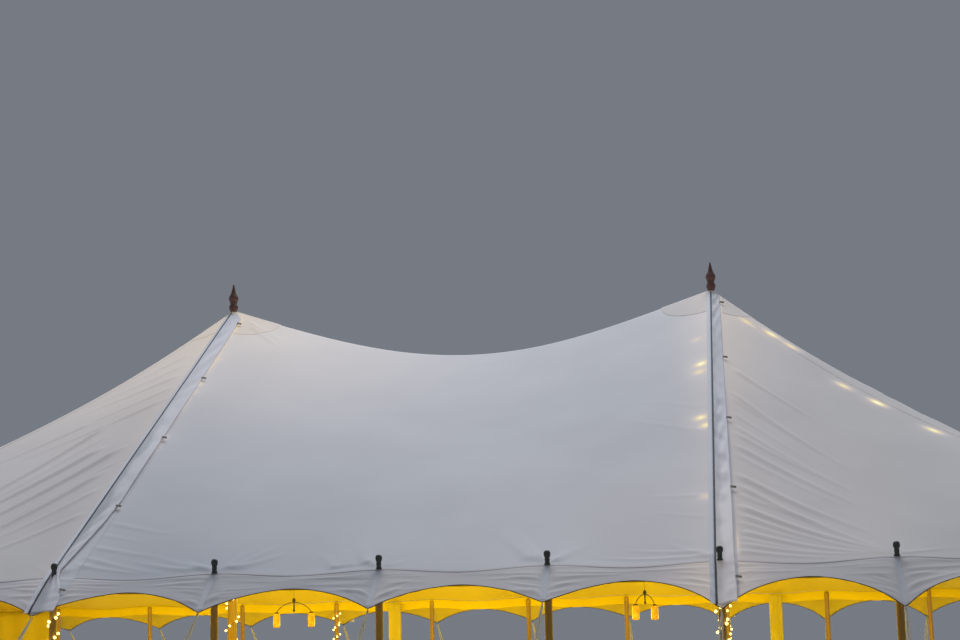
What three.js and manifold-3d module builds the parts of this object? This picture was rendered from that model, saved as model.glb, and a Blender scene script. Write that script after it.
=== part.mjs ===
// Pole marquee with two king poles and a scalloped eave, in millimetres with +Z up.
// The ridge runs along X, the front faces -Y, and the origin is on the ground under the middle.
import * as THREE from 'three';
import { mergeVertices } from 'three/addons/utils/BufferGeometryUtils.js';
import Module from 'manifold-3d';

const wasm = await Module();
wasm.setup();

// Plan: one bay is the 5 ft spacing of the side poles
const bay = 1524;
const middleBays = 4;
const endBays = 4;
const halfWidthBays = 4;
const halfMiddle = bay * middleBays / 2;
const halfWidth = bay * halfWidthBays;
const halfLength = halfMiddle + bay * endBays;

// Heights of the canvas, and how far its free lines hang below straight
const eaveHeight = 2290;
const apexHeight = 5870;
const rise = apexHeight - eaveHeight;
const ridgeSag = 690;
const hipSlack = 0.76;
const endSlack = 0.4;
const eaveSag = 35;

// Canvas and webbing
const canvasThickness = 5;
const seat = 0.3;
const pinHole = 40;
const crownReach = 550;
const flangeIn = 36;
const flangeOut = 25;
const valanceHeight = 130;
const valanceThickness = 4;

// Scallops outside the eave
const tipReach = 530;
const tipDrop = 367;
const scallopPeak = 0.45;
const scallopPower = 1.5;
const scallopSteps = 6;

// Poles, caps and finials
const sidePoleRadius = 35;
const sidePoleFaces = 6;
const neckRadius = 22;
const ballRadius = 31;
const capHeight = 130;
const kingRadius = 60;
const kingSides = 16;
const pinRadius = 12;
const finialHeight = 365;
const finialRadius = 62;

// Cover flaps over the laced seams
const flapTopWidth = 140;
const flapFootWidth = 215;
const flapShoulder = 0.8;
const flapLift = 9;
const capClearance = 38;

// Guy ropes and stakes
const guyRadius = 9;
const guySlope = 0.8;
const guySides = 4;
const edgeWebbing = 12;
const edgeThickness = 8;
const stakeRadius = 16;
const stakeHeight = 150;
const stakeLean = 45;

// Walls
const wallFold = 22;
const wallFoldsPerBay = 4;
const wallThickness = 6;
const wallFoot = 10;
const wallDrop = 60;
const bunchWidth = 210;
const bunchDepth = 90;
const bunchFolds = 5;

const canvas = { color: 0xb4b4bb, roughness: 0.85, metalness: 0 };
const flapCanvas = { color: 0xa9afba, roughness: 0.85, metalness: 0 };
const wallCanvas = { color: 0xd9c27a, roughness: 0.85, metalness: 0 };
const webbing = { color: 0x6a5134, roughness: 0.8, metalness: 0 };
const wood = { color: 0x5a4020, roughness: 0.55, metalness: 0 };
const turnedWood = { color: 0x7a3f2c, roughness: 0.5, metalness: 0 };

const model = new THREE.Group();

function add(name, geometry, finish) {
  const mesh = new THREE.Mesh(geometry, new THREE.MeshStandardMaterial(finish));
  mesh.name = name;
  model.add(mesh);
}

// Solids: joined vertices, faces pointing out
function closed(positions, index) {
  const raw = new THREE.BufferGeometry();
  raw.setAttribute('position', new THREE.Float32BufferAttribute(positions, 3));
  raw.setIndex(index);
  const geometry = mergeVertices(raw, 1e-3);
  const p = geometry.attributes.position;
  const t = geometry.index.array;
  const [a, b, c] = [new THREE.Vector3(), new THREE.Vector3(), new THREE.Vector3()];
  let volume = 0;
  for (let i = 0; i < t.length; i += 3) {
    a.fromBufferAttribute(p, t[i]);
    b.fromBufferAttribute(p, t[i + 1]);
    c.fromBufferAttribute(p, t[i + 2]);
    volume += a.dot(b.cross(c));
  }
  if (volume < 0) {
    for (let i = 0; i < t.length; i += 3) [t[i], t[i + 1]] = [t[i + 1], t[i]];
  }
  return geometry;
}

// A sheet: rows of points on its upper side, given its thickness straight down
function sheet(rows, thickness) {
  const across = rows[0].length;
  const positions = [];
  for (const lift of [0, -thickness]) {
    for (const row of rows) {
      for (const point of row) positions.push(point.x, point.y, point.z + lift);
    }
  }
  const index = [];
  const at = (layer, row, column) => (layer * rows.length + row) * across + column;
  const quad = (a, b, c, d) => index.push(a, b, c, a, c, d);
  const last = { row: rows.length - 1, column: across - 1 };
  for (let r = 0; r < last.row; r++) {
    for (let c = 0; c < last.column; c++) {
      quad(at(0, r, c), at(0, r, c + 1), at(0, r + 1, c + 1), at(0, r + 1, c));
      quad(at(1, r, c), at(1, r + 1, c), at(1, r + 1, c + 1), at(1, r, c + 1));
    }
    quad(at(0, r, 0), at(0, r + 1, 0), at(1, r + 1, 0), at(1, r, 0));
    quad(at(0, r + 1, last.column), at(0, r, last.column), at(1, r, last.column), at(1, r + 1, last.column));
  }
  for (let c = 0; c < last.column; c++) {
    quad(at(0, 0, c + 1), at(0, 0, c), at(1, 0, c), at(1, 0, c + 1));
    quad(at(0, last.row, c), at(0, last.row, c + 1), at(1, last.row, c + 1), at(1, last.row, c));
  }
  return closed(positions, index);
}

// A bar: one convex section carried from station to station, closed at both ends
function bar(sections) {
  const sides = sections[0].length;
  const positions = [];
  for (const section of sections) {
    for (const point of section) positions.push(point.x, point.y, point.z);
  }
  const index = [];
  for (let s = 0; s < sections.length - 1; s++) {
    for (let k = 0; k < sides; k++) {
      const near = s * sides + k;
      const beside = s * sides + (k + 1) % sides;
      index.push(near, beside, beside + sides, near, beside + sides, near + sides);
    }
  }
  const end = (sections.length - 1) * sides;
  for (let k = 1; k < sides - 1; k++) {
    index.push(0, k + 1, k);
    index.push(end, end + k, end + k + 1);
  }
  return closed(positions, index);
}

// A round bar from one point to another, of the radius given at each end
function roundBar(from, to, fromRadius, toRadius, sides) {
  const along = new THREE.Vector3().subVectors(to, from).normalize();
  const upright = Math.abs(along.z) > 0.99 ? new THREE.Vector3(1, 0, 0) : new THREE.Vector3(0, 0, 1);
  const across = new THREE.Vector3().crossVectors(along, upright).normalize();
  const over = new THREE.Vector3().crossVectors(across, along);
  const ring = (centre, radius) => Array.from({ length: sides }, (_, k) => {
    const turn = 2 * Math.PI * k / sides;
    return centre.clone()
      .addScaledVector(across, radius * Math.cos(turn))
      .addScaledVector(over, radius * Math.sin(turn));
  });
  return bar([ring(from, fromRadius), ring(to, toRadius)]);
}

// A turned piece: a profile of [radius, height] spun about an upright axis
function turned(profile, sides, x, y, start = 0) {
  const points = profile.map(([r, z]) => new THREE.Vector2(r, z));
  const geometry = new THREE.LatheGeometry(points, sides, start);
  geometry.rotateX(Math.PI / 2);
  geometry.translate(x, y, 0);
  return closed(geometry.attributes.position.array, Array.from(geometry.index.array));
}

// Joins solids into one with manifold-3d
function join(parts) {
  const toSolid = (geometry) => new wasm.Manifold(new wasm.Mesh({
    numProp: 3,
    vertProperties: new Float32Array(geometry.attributes.position.array),
    triVerts: new Uint32Array(geometry.index.array),
  }));
  let whole = toSolid(parts[0]);
  for (const part of parts.slice(1)) whole = whole.add(toSolid(part));
  const mesh = whole.getMesh();
  const geometry = new THREE.BufferGeometry();
  geometry.setAttribute('position', new THREE.Float32BufferAttribute(mesh.vertProperties, 3));
  geometry.setIndex(Array.from(mesh.triVerts));
  return geometry;
}

// The four sides of the plan: how far along the side, and how far out from its eave line
const sides = {
  front: { half: halfLength, place: (along, out, z) => new THREE.Vector3(along, -halfWidth - out, z) },
  back: { half: halfLength, place: (along, out, z) => new THREE.Vector3(-along, halfWidth + out, z) },
  right: { half: halfWidth, place: (along, out, z) => new THREE.Vector3(halfLength + out, along, z) },
  left: { half: halfWidth, place: (along, out, z) => new THREE.Vector3(-halfLength - out, -along, z) },
};

// Hang of the eave between two poles, for a distance along any side
function hang(along) {
  return eaveSag * Math.sin(Math.PI * along / bay) ** 2;
}

function steps(from, to, length) {
  const count = Math.max(1, Math.round(Math.abs(to - from) / length));
  return Array.from({ length: count + 1 }, (_, i) => from + (to - from) * i / count);
}

// Roof height over the plan. The middle is straight from its sagging ridge down to the eave.
// The ends are straight down each king seam and slackest along the hips.
function ridgeHang(x) {
  const share = Math.abs(x) / halfMiddle;
  return ridgeSag * (0.75 * (1 - share ** 2) + 0.25 * Math.cos(Math.PI * share / 2) ** 2);
}

function middleHeight(x, run) {
  return eaveHeight + (rise - ridgeHang(x)) * (1 - run) - hang(x) * run ** 6;
}

// run is 0 at the apex and 1 at the eave; share is 0 on the king seam and 1 on the hip
function frontEndHeight(share, run) {
  const slack = hipSlack * share;
  return apexHeight - rise * run * (1 + slack * (1 - run)) - hang(halfWidth * share) * run ** 6;
}

// share is 0 in the middle of the end and 1 or -1 on the hips
function sideEndHeight(share, run) {
  const slack = endSlack + (hipSlack - endSlack) * share ** 2;
  return apexHeight - rise * run * (1 + slack * (1 - run)) - hang(halfWidth * share) * run ** 6;
}

// Rows of the roof grids, from the hole round the king's pin to the edge of the eave webbing
const holeRun = pinHole / halfWidth;
const crownRun = crownReach / halfWidth;
const lastRun = (halfWidth - flangeIn - seat) / halfWidth;
const lowerRuns = [0.21, 0.34, 0.48, 0.62, 0.75, 0.87, lastRun];
const halfBayShare = 0.5 / halfWidthBays;

// Each panel maker takes the runs it covers, so the crown patches reuse the roof's own cells
function middlePanel(columns, rowRuns, ySign, lift, thickness) {
  const rows = rowRuns.map((run) => columns.map((x) => {
    const corner = Math.max(0, pinHole - (halfMiddle - Math.abs(x)));
    const held = Math.max(run, corner / halfWidth);
    return new THREE.Vector3(x, ySign * halfWidth * held, middleHeight(x, held) + lift);
  }));
  return sheet(rows, thickness);
}

function frontEndPanel(rowRuns, xSign, ySign, lift, thickness) {
  const shares = steps(0, 1, halfBayShare);
  const rows = rowRuns.map((run) => shares.map((share) => new THREE.Vector3(
    xSign * (halfMiddle + halfWidth * share * run),
    ySign * halfWidth * run,
    frontEndHeight(share, run) + lift,
  )));
  return sheet(rows, thickness);
}

function sideEndPanel(rowRuns, xSign, lift, thickness) {
  const shares = steps(-1, 1, halfBayShare);
  const rows = rowRuns.map((run) => shares.map((share) => new THREE.Vector3(
    xSign * (halfMiddle + halfWidth * run),
    halfWidth * share * run,
    sideEndHeight(share, run) + lift,
  )));
  return sheet(rows, thickness);
}

const crownEdge = halfMiddle - crownReach;
const innerColumns = steps(-halfMiddle + 0.5 * bay, halfMiddle - 0.5 * bay, 0.5 * bay);
const middleColumns = [
  -halfMiddle, -halfMiddle + pinHole, -crownEdge,
  ...innerColumns,
  crownEdge, halfMiddle - pinHole, halfMiddle,
];
const middleRuns = [0, crownRun, ...lowerRuns];
const endRuns = [holeRun, crownRun, ...lowerRuns];
const fronts = [['front', -1], ['back', 1]];
const ends = [['left', -1], ['right', 1]];

function roof() {
  for (const [depth, ySign] of fronts) {
    add(`roof_middle_${depth}`, middlePanel(middleColumns, middleRuns, ySign, 0, canvasThickness), canvas);
    for (const [end, xSign] of ends) {
      add(`roof_${end}_${depth}`, frontEndPanel(endRuns, xSign, ySign, 0, canvasThickness), canvas);
    }
  }
  for (const [end, xSign] of ends) {
    add(`roof_${end}_side`, sideEndPanel(endRuns, xSign, 0, canvasThickness), canvas);
  }
}

// Crown patches: a second layer of canvas over the roof's cells around each apex
const crownThickness = 4;

function crowns() {
  const rowRuns = [holeRun, crownRun];
  for (const [end, xSign] of ends) {
    const columns = [halfMiddle, halfMiddle - pinHole, crownEdge].map((x) => xSign * x);
    const layers = fronts.flatMap(([, ySign]) => [
      middlePanel(columns, [0, crownRun], ySign, seat, crownThickness * -1),
      frontEndPanel(rowRuns, xSign, ySign, seat, crownThickness * -1),
    ]);
    layers.push(sideEndPanel(rowRuns, xSign, seat, crownThickness * -1));
    add(`crown_patch_${end}`, join(layers), canvas);
  }
}

// The plane outside the eave line: eave webbing, petals and edge webbing all lie in it
const petalSlope = tipDrop / tipReach;

function petalHeight(along, out) {
  return eaveHeight - petalSlope * out - hang(along);
}

// In the last bay before a corner the canvas fans out, so the corner's tip points diagonally
function cornerSpread(half, along) {
  return Math.sign(along) * Math.max(0, 1 - (half - Math.abs(along)) / bay);
}

function edgeOut(along) {
  const share = along / bay - Math.floor(along / bay);
  return tipReach * (scallopPeak + (1 - scallopPeak) * Math.abs(2 * share - 1) ** scallopPower);
}

function petalPoint(side, along, out, lift) {
  const spread = cornerSpread(side.half, along) * out;
  return side.place(along + spread, out, petalHeight(along, out) + lift);
}

function stations(from, to, length) {
  const first = Math.floor(from / length) + 1;
  const inner = [];
  for (let k = first; k * length < to - 1; k++) {
    if (k * length > from + 1) inner.push(k * length);
  }
  return [from, ...inner, to];
}

// Lengths of each side: the long sides are made in the roof's three sections
const rowSplit = halfMiddle + 40;
const tipSplit = halfMiddle + 12;
const cornerTrim = 12;

function lengths(name, split, trim) {
  const half = sides[name].half;
  if (name === 'left' || name === 'right') return [[`${name}_side`, -half + trim, half - trim]];
  const [first, last] = name === 'front' ? ['left', 'right'] : ['right', 'left'];
  return [
    [`${name}_${first}`, -half, -split - seat],
    [`${name}_middle`, -split, split],
    [`${name}_${last}`, split + seat, half],
  ];
}

function scallops() {
  for (const [name, side] of Object.entries(sides)) {
    for (const [label, from, to] of lengths(name, tipSplit, cornerTrim)) {
      const along = stations(from, to, bay / scallopSteps);
      const inner = along.map((a) => petalPoint(side, a, flangeOut + seat, 0));
      const outer = along.map((a) => petalPoint(side, a, edgeOut(a) - edgeWebbing - seat, 0));
      add(`scalloped_valance_${label}`, sheet([inner, outer], canvasThickness), canvas);
    }
  }
}

// Guy ropes with the webbing of the scalloped edge, which carries them, and their stakes
const guyTie = 90;
const tieOut = tipReach - edgeWebbing / 2;

function guys() {
  for (const [name, side] of Object.entries(sides)) {
    for (const [label, from, to] of lengths(name, tipSplit, cornerTrim)) {
      const edge = stations(from, to, bay / scallopSteps).map((a) => {
        const out = edgeOut(a);
        return [
          petalPoint(side, a, out - edgeWebbing, 0),
          petalPoint(side, a, out, 0),
          petalPoint(side, a, out - edgeWebbing / 2, -edgeThickness),
        ];
      });
      const parts = [bar(edge)];
      const poles = polesAlong(name, from, to);
      for (const along of poles) {
        const spread = cornerSpread(side.half, along);
        const tip = petalPoint(side, along, tieOut, -edgeThickness / 2);
        const drop = tip.z - guyTie;
        const reach = drop / guySlope / Math.hypot(1, spread);
        const foot = (extra, z) => {
          const out = tieOut + reach + extra;
          return side.place(along + spread * out, out, z);
        };
        parts.push(roundBar(tip, foot(0, guyTie), guyRadius, guyRadius, guySides));
        const lean = stakeLean / Math.hypot(1, spread);
        const ring = (centre) => Array.from({ length: 6 }, (_, k) => new THREE.Vector3(
          centre.x + stakeRadius * Math.cos(Math.PI * k / 3),
          centre.y + stakeRadius * Math.sin(Math.PI * k / 3),
          centre.z,
        ));
        const share = guyTie / stakeHeight;
        parts.push(bar([ring(foot(-lean * share, 0)), ring(foot(lean * (1 - share), stakeHeight))]));
      }
      add(`guy_ropes_${label}`, join(parts), webbing);
    }
  }
}

// Corner poles belong to the long sides
function polesAlong(name, from, to) {
  const short = name === 'left' || name === 'right';
  const limit = short ? halfWidth - 1 : halfLength + 1;
  const poles = [];
  for (let k = Math.ceil((from - 1) / bay); k * bay <= to + 1; k++) {
    if (Math.abs(k * bay) < limit) poles.push(k * bay);
  }
  return poles;
}

// Side poles with their ball caps, joined by the eave webbing and the wall-hanging strip
const poleShoulder = 45;
const polePoints = [
  [0, 0],
  [sidePoleRadius, 0],
  [sidePoleRadius, eaveHeight - poleShoulder],
  [neckRadius, eaveHeight - poleShoulder + 12],
  [neckRadius, eaveHeight + capHeight - 2 * ballRadius],
  [ballRadius, eaveHeight + capHeight - ballRadius],
  [0, eaveHeight + capHeight],
];

function poleRows() {
  for (const [name, side] of Object.entries(sides)) {
    const short = name === 'left' || name === 'right';
    for (const [label, from, to] of lengths(name, rowSplit, 0)) {
      const start = from === -side.half ? from - (short ? -flangeIn - seat : flangeOut) : from;
      const stop = to === side.half ? to + (short ? -flangeIn - seat : flangeOut) : to;
      const along = stations(start, stop, bay / 2);
      const flange = along.map((a) => [
        side.place(a, -flangeIn, petalHeight(a, -flangeIn)),
        side.place(a, flangeOut, petalHeight(a, flangeOut)),
        side.place(a, flangeOut, petalHeight(a, flangeOut) - canvasThickness),
        side.place(a, -flangeIn, petalHeight(a, -flangeIn) - canvasThickness),
      ]);
      const innerStart = short ? start : Math.max(start, -side.half);
      const innerStop = short ? stop : Math.min(stop, side.half);
      const strip = stations(innerStart, innerStop, bay / 2).map((a) => {
        const top = petalHeight(a, -flangeIn) - canvasThickness / 2;
        const foot = eaveHeight - valanceHeight - hang(a);
        const outside = -flangeIn + valanceThickness;
        return [
          side.place(a, -flangeIn, top),
          side.place(a, outside, top),
          side.place(a, outside, foot),
          side.place(a, -flangeIn, foot),
        ];
      });
      const parts = [bar(flange), bar(strip)];
      for (const pole of polesAlong(name, from, to)) {
        const centre = side.place(pole, 0, 0);
        parts.push(turned(polePoints, sidePoleFaces, centre.x, centre.y, short ? Math.PI / 2 : 0));
      }
      add(`side_poles_${label}`, join(parts), wood);
    }
  }
}

// King poles: the head sits just under the canvas round the pin, which carries the finial
const headRadius = pinHole;
const headHeight = sideEndHeight(0, holeRun) - canvasThickness - seat;
const finialSeat = middleHeight(halfMiddle - pinHole, 0) + seat + crownThickness + seat;
const pinLength = 60;

function kingPoles() {
  for (const [end, xSign] of ends) {
    add(`king_pole_${end}`, turned([
      [0, 0],
      [kingRadius, 0],
      [kingRadius, headHeight - 30],
      [headRadius, headHeight],
      [pinRadius, headHeight],
      [pinRadius, finialSeat + pinLength],
      [0, finialSeat + pinLength],
    ], kingSides, xSign * halfMiddle, 0), wood);
  }
}

// Finials: a ball foot, a collar ring and a pointed spire, bored for the pin
function finials() {
  const bore = pinRadius + seat;
  const r = finialRadius;
  const h = finialHeight;
  for (const [end, xSign] of ends) {
    add(`finial_${end}`, turned([
      [0, finialSeat + pinLength + seat],
      [bore, finialSeat + pinLength + seat],
      [bore, finialSeat],
      [0.6 * r, finialSeat],
      [0.75 * r, finialSeat + 0.08 * h],
      [0.45 * r, finialSeat + 0.16 * h],
      [0.82 * r, finialSeat + 0.22 * h],
      [0.5 * r, finialSeat + 0.29 * h],
      [r, finialSeat + 0.42 * h],
      [0.92 * r, finialSeat + 0.53 * h],
      [0.45 * r, finialSeat + 0.68 * h],
      [0.2 * r, finialSeat + 0.85 * h],
      [0, finialSeat + h],
    ], kingSides, xSign * halfMiddle, 0), turnedWood);
  }
}

// Cover flaps: each lies on the +X side of its laced seam, from the finial to the petal's tip
const flapStart = 78;
const flapThickness = 4;

function flapPoint(kingX, ySign, distance, offset, lift) {
  const x = kingX + offset;
  const out = distance - halfWidth;
  const run = distance / halfWidth;
  const onRoof = kingX < 0
    ? middleHeight(x, run)
    : frontEndHeight(Math.min(1, offset / distance), run);
  const z = out < 0 ? onRoof : petalHeight(x, out);
  return new THREE.Vector3(x, ySign * distance, z + lift);
}

function coverFlap(kingX, ySign) {
  const upper = [flapStart, ...[crownRun, ...lowerRuns.slice(0, -1)].map((run) => run * halfWidth)];
  const rowList = [
    ...upper.map((distance) => [distance, 0]),
    [halfWidth - 110, 0],
    [halfWidth - 60, capClearance],
    [halfWidth + 60, capClearance],
    [halfWidth + 110, 0],
  ];
  const widthAt = (distance) => {
    const share = distance / (halfWidth + tipReach);
    const fullWidth = flapTopWidth + (flapFootWidth - flapTopWidth) * share;
    return Math.min(fullWidth, flapShoulder * distance);
  };
  const across = (inset, width) => [inset, (inset + width) / 2, width];
  const rows = rowList.map(([distance, inset]) => across(inset, widthAt(distance))
    .map((offset) => flapPoint(kingX, ySign, distance, offset, flapLift)));
  // The foot is cut to the scallop and tied down at its tip
  rows.push(across(0, flapFootWidth).map((offset) => {
    const distance = halfWidth + edgeOut(offset) - edgeWebbing;
    return flapPoint(kingX, ySign, distance, offset, seat);
  }));
  return sheet(rows, -flapThickness);
}

function coverFlaps() {
  for (const [depth, ySign] of fronts) {
    for (const [end, xSign] of ends) {
      add(`seam_flap_${end}_${depth}`, coverFlap(xSign * halfMiddle, ySign), flapCanvas);
    }
  }
}

// Walls hang inside the wall-hanging strip in upright folds
function foldedWall(side, from, to, folds, depth, thickness) {
  const points = steps(from, to, (to - from) / (2 * folds));
  const hook = -flangeIn - seat;
  const outer = points.map((along, i) => side.place(along, hook - (i % 2) * depth, 0));
  const inner = points.map((along, i) => side.place(along, hook - (i % 2) * depth - thickness, 0));
  const outline = [...outer, ...inner.reverse()].map((point) => new THREE.Vector2(point.x, point.y));
  const geometry = new THREE.ExtrudeGeometry(new THREE.Shape(outline), {
    depth: eaveHeight - wallDrop - wallFoot,
    bevelEnabled: false,
  });
  geometry.translate(0, 0, wallFoot);
  geometry.deleteAttribute('normal');
  geometry.deleteAttribute('uv');
  const joined = mergeVertices(geometry, 1e-3);
  return closed(joined.attributes.position.array, Array.from(joined.index.array));
}

function walls() {
  const cornerGap = 100;
  const endReach = halfWidth - cornerGap;
  const endFolds = 2 * halfWidthBays * wallFoldsPerBay;
  const endWall = foldedWall(sides.left, -endReach, endReach, endFolds, 2 * wallFold, wallThickness);
  add('wall_left_side', endWall, wallCanvas);
  const backWall = foldedWall(
    sides.back, halfLength - bay, halfLength - cornerGap, wallFoldsPerBay, 2 * wallFold, wallThickness,
  );
  add('wall_back_left', backWall, wallCanvas);
  const bunches = [['left', 2100], ['right', -3800]];
  for (const [end, along] of bunches) {
    const bunch = foldedWall(
      sides.back, along - bunchWidth / 2, along + bunchWidth / 2, bunchFolds, bunchDepth / 3, bunchDepth * 2 / 3,
    );
    add(`wall_bunch_back_${end}`, bunch, wallCanvas);
  }
}

roof();
crowns();
scallops();
poleRows();
guys();
kingPoles();
finials();
coverFlaps();
walls();

export default model;
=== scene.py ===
# %% [markdown]
# # A canvas marquee on two king poles
# The tent is a roof of white canvas in three laced sections, held up by two king poles and
# a row of side poles on every side. Outside the eave hangs a valance cut in scallops, and
# guy ropes pull its points out to stakes.
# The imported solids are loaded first. They give every size, and each soft solid is then
# replaced by a finer piece that lies where it lay.

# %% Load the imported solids
import math
import random

import bmesh
import bpy
import numpy as np
from mathutils import Matrix, Vector


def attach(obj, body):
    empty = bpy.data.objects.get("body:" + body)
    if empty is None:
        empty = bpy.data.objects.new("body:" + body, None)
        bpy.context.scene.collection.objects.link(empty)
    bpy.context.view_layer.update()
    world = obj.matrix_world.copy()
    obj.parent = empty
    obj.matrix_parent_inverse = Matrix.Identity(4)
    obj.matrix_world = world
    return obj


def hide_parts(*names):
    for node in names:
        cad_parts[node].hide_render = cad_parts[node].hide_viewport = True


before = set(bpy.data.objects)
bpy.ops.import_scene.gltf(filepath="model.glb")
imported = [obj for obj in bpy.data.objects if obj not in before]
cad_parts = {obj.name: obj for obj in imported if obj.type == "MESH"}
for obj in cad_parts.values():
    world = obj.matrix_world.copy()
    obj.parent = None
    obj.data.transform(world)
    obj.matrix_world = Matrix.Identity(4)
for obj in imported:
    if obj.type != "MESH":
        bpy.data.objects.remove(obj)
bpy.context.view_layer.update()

scene = bpy.context.scene

# %% [markdown]
# ## Where the photograph was taken from
# The camera stands in front of the tent, a little right of the middle, and looks up. Its
# place came from matching the pole caps and both apexes, so the lens is a long one.

# %% Camera
EYE = (3.1312, -22.2451, 1.6411)
TURN = 0.1334
TILT = 0.1753
ROLL = -0.0199
LENS = 67.82

lens = bpy.data.cameras.new("tent_camera")
lens.lens = LENS
lens.sensor_width = 36
camera = bpy.data.objects.new("tent_camera", lens)
camera.matrix_world = (
    Matrix.Translation(EYE)
    @ Matrix.Rotation(TURN, 4, "Z")
    @ Matrix.Rotation(math.pi / 2 + TILT, 4, "X")
    @ Matrix.Rotation(ROLL, 4, "Z")
)
scene.collection.objects.link(camera)
scene.camera = camera
print("camera", EYE, "lens", LENS)

# %% [markdown]
# ## Sizes shared with the solids
# These are the measures of the real tent in metres. The side poles stand on a 5 ft grid,
# so one bay is 1.524 m.

# %% Sizes
BAY = 1.524
HALF_MIDDLE = 2 * BAY
HALF_WIDTH = 4 * BAY
HALF_LENGTH = 6 * BAY
EAVE = 2.29
APEX = 5.87
RISE = APEX - EAVE
RIDGE_SAG = 0.69
# Share of the ridge's sag that follows a parabola; the rest is a cosine
PARABOLA = 0.75
HIP_SLACK = 0.76
END_SLACK = 0.4
EAVE_SAG = 0.035
# The sag of the eave dies away up the slope by this power
SAG_POWER = 6
TIP_REACH = 0.53
TIP_DROP = 0.367
SCALLOP_PEAK = 0.36
SCALLOP_POWER = 1.75
# How much lower the points hang, by their distance to the right of the middle
SLACK_PLACES = [0, BAY, 2 * BAY, 3 * BAY, 4 * BAY, 6 * BAY]
SLACK = [0.0, -0.025, 0.07, 0.085, 0.06, 0.0]


def hang(along):
    """How far the eave hangs between two poles."""
    return EAVE_SAG * np.sin(np.pi * along / BAY) ** 2


def roof_height(x, y):
    """Height of the canvas over any place of the plan, for arrays of x and y."""
    over = np.abs(x) - HALF_MIDDLE
    aside = np.abs(y)
    # Middle section: straight from the sagging ridge to the eave
    share = np.minimum(np.abs(x) / HALF_MIDDLE, 1)
    sag = RIDGE_SAG * (PARABOLA * (1 - share**2) + (1 - PARABOLA) * np.cos(np.pi * share / 2) ** 2)
    run = aside / HALF_WIDTH
    middle = EAVE + (RISE - sag) * (1 - run) - hang(x) * run**SAG_POWER
    # Front and back of an end: straight down the seam and slackest on the hip
    share = np.clip(over / np.maximum(aside, 1e-6), 0, 1)
    front = APEX - RISE * run * (1 + HIP_SLACK * share * (1 - run))
    front = front - hang(HALF_WIDTH * share) * run**SAG_POWER
    # Side of an end
    run = np.maximum(over, 0) / HALF_WIDTH
    share = np.clip(aside / np.maximum(over, 1e-6), 0, 1)
    slack = END_SLACK + (HIP_SLACK - END_SLACK) * share**2
    side = APEX - RISE * run * (1 + slack * (1 - run)) - hang(HALF_WIDTH * share) * run**SAG_POWER
    return np.where(over <= 0, middle, np.where(aside >= over, front, side))


def edge_out(along):
    """How far the scalloped edge is from the eave line."""
    share = along / BAY - np.floor(along / BAY)
    return TIP_REACH * (SCALLOP_PEAK + (1 - SCALLOP_PEAK) * np.abs(2 * share - 1) ** SCALLOP_POWER)


# The two ends of the tent, and for each side its half length and a rule for its places
ENDS = {"left": -1, "right": 1}
SIDES = {
    "front": (HALF_LENGTH, lambda along, out: (along, -HALF_WIDTH - out)),
    "back": (HALF_LENGTH, lambda along, out: (-along, HALF_WIDTH + out)),
    "right": (HALF_WIDTH, lambda along, out: (HALF_LENGTH + out, along)),
    "left": (HALF_WIDTH, lambda along, out: (-HALF_LENGTH - out, -along)),
}


def valance_height(side, along, out):
    """Height of the valance. On the right the points are pulled a little lower."""
    across = {"front": along, "back": -along}.get(side, 0 * along)
    share = along / BAY - np.floor(along / BAY)
    drop = TIP_DROP + np.interp(across, SLACK_PLACES, SLACK) * (2 * share - 1) ** 2
    return EAVE - drop / TIP_REACH * out - hang(along)


def valance_point(side, along, out, lift=0.0):
    """A place on the valance. Near a corner the cloth fans out towards the diagonal."""
    half, place = SIDES[side]
    spread = np.sign(along) * np.maximum(0, 1 - (half - np.abs(along)) / BAY)
    x, y = place(along + spread * out, out)
    return x, y, valance_height(side, along, out) + lift


print("apex", APEX, "eave", EAVE, "canvas slope", round(math.degrees(math.atan(RISE / HALF_WIDTH)), 1))

# %% [markdown]
# ## Colours and nodes
# Colours are written as on a paint card, and one function turns them into the linear
# values that the sockets take. A second function adds any node with its settings, its
# fixed values and its links, so a material reads as a short list.

# %% Helpers for materials
def tint(code):
    """Turn a colour such as #a0b0c0 into linear values."""
    parts = [int(code[k : k + 2], 16) / 255 for k in (1, 3, 5)]
    return (*[p / 12.92 if p <= 0.04045 else ((p + 0.055) / 1.055) ** 2.4 for p in parts], 1.0)


def add_node(tree, kind, settings=None, values=None, links=None):
    """Add a node with its settings, the fixed values of its inputs, and its links."""
    node = tree.nodes.new(kind)
    for name, value in (settings or {}).items():
        setattr(node, name, value)
    for name, value in (values or {}).items():
        node.inputs[name].default_value = value
    for name, socket in (links or {}).items():
        tree.links.new(socket, node.inputs[name])
    return node


def new_material(name):
    """A material with an empty node tree and its output node."""
    material = bpy.data.materials.new(name)
    material.use_nodes = True
    material.node_tree.nodes.clear()
    return material, material.node_tree


def colour_steps(tree, factor, stops):
    """Turn a factor into colours through a row of stops."""
    ramp = add_node(tree, "ShaderNodeValToRGB", links={"Fac": factor})
    while len(ramp.color_ramp.elements) < len(stops):
        ramp.color_ramp.elements.new(0.5)
    for element, (place, code) in zip(ramp.color_ramp.elements, stops):
        element.position = place
        element.color = tint(code)
    return ramp.outputs["Color"]


def object_place(tree):
    return add_node(tree, "ShaderNodeTexCoord").outputs["Object"]


def noise(tree, place, scale, detail=2.0, roughness=0.5):
    """Mottling from 0 to 1 that is fixed to the given coordinates."""
    values = {"Scale": scale, "Detail": detail, "Roughness": roughness}
    return add_node(tree, "ShaderNodeTexNoise", values=values, links={"Vector": place}).outputs["Fac"]


def raised(tree, height, strength, distance):
    """A normal that follows a height, which is drawn up to the given distance deep."""
    values = {"Strength": strength, "Distance": distance}
    return add_node(tree, "ShaderNodeBump", values=values, links={"Height": height}).outputs["Normal"]


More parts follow.
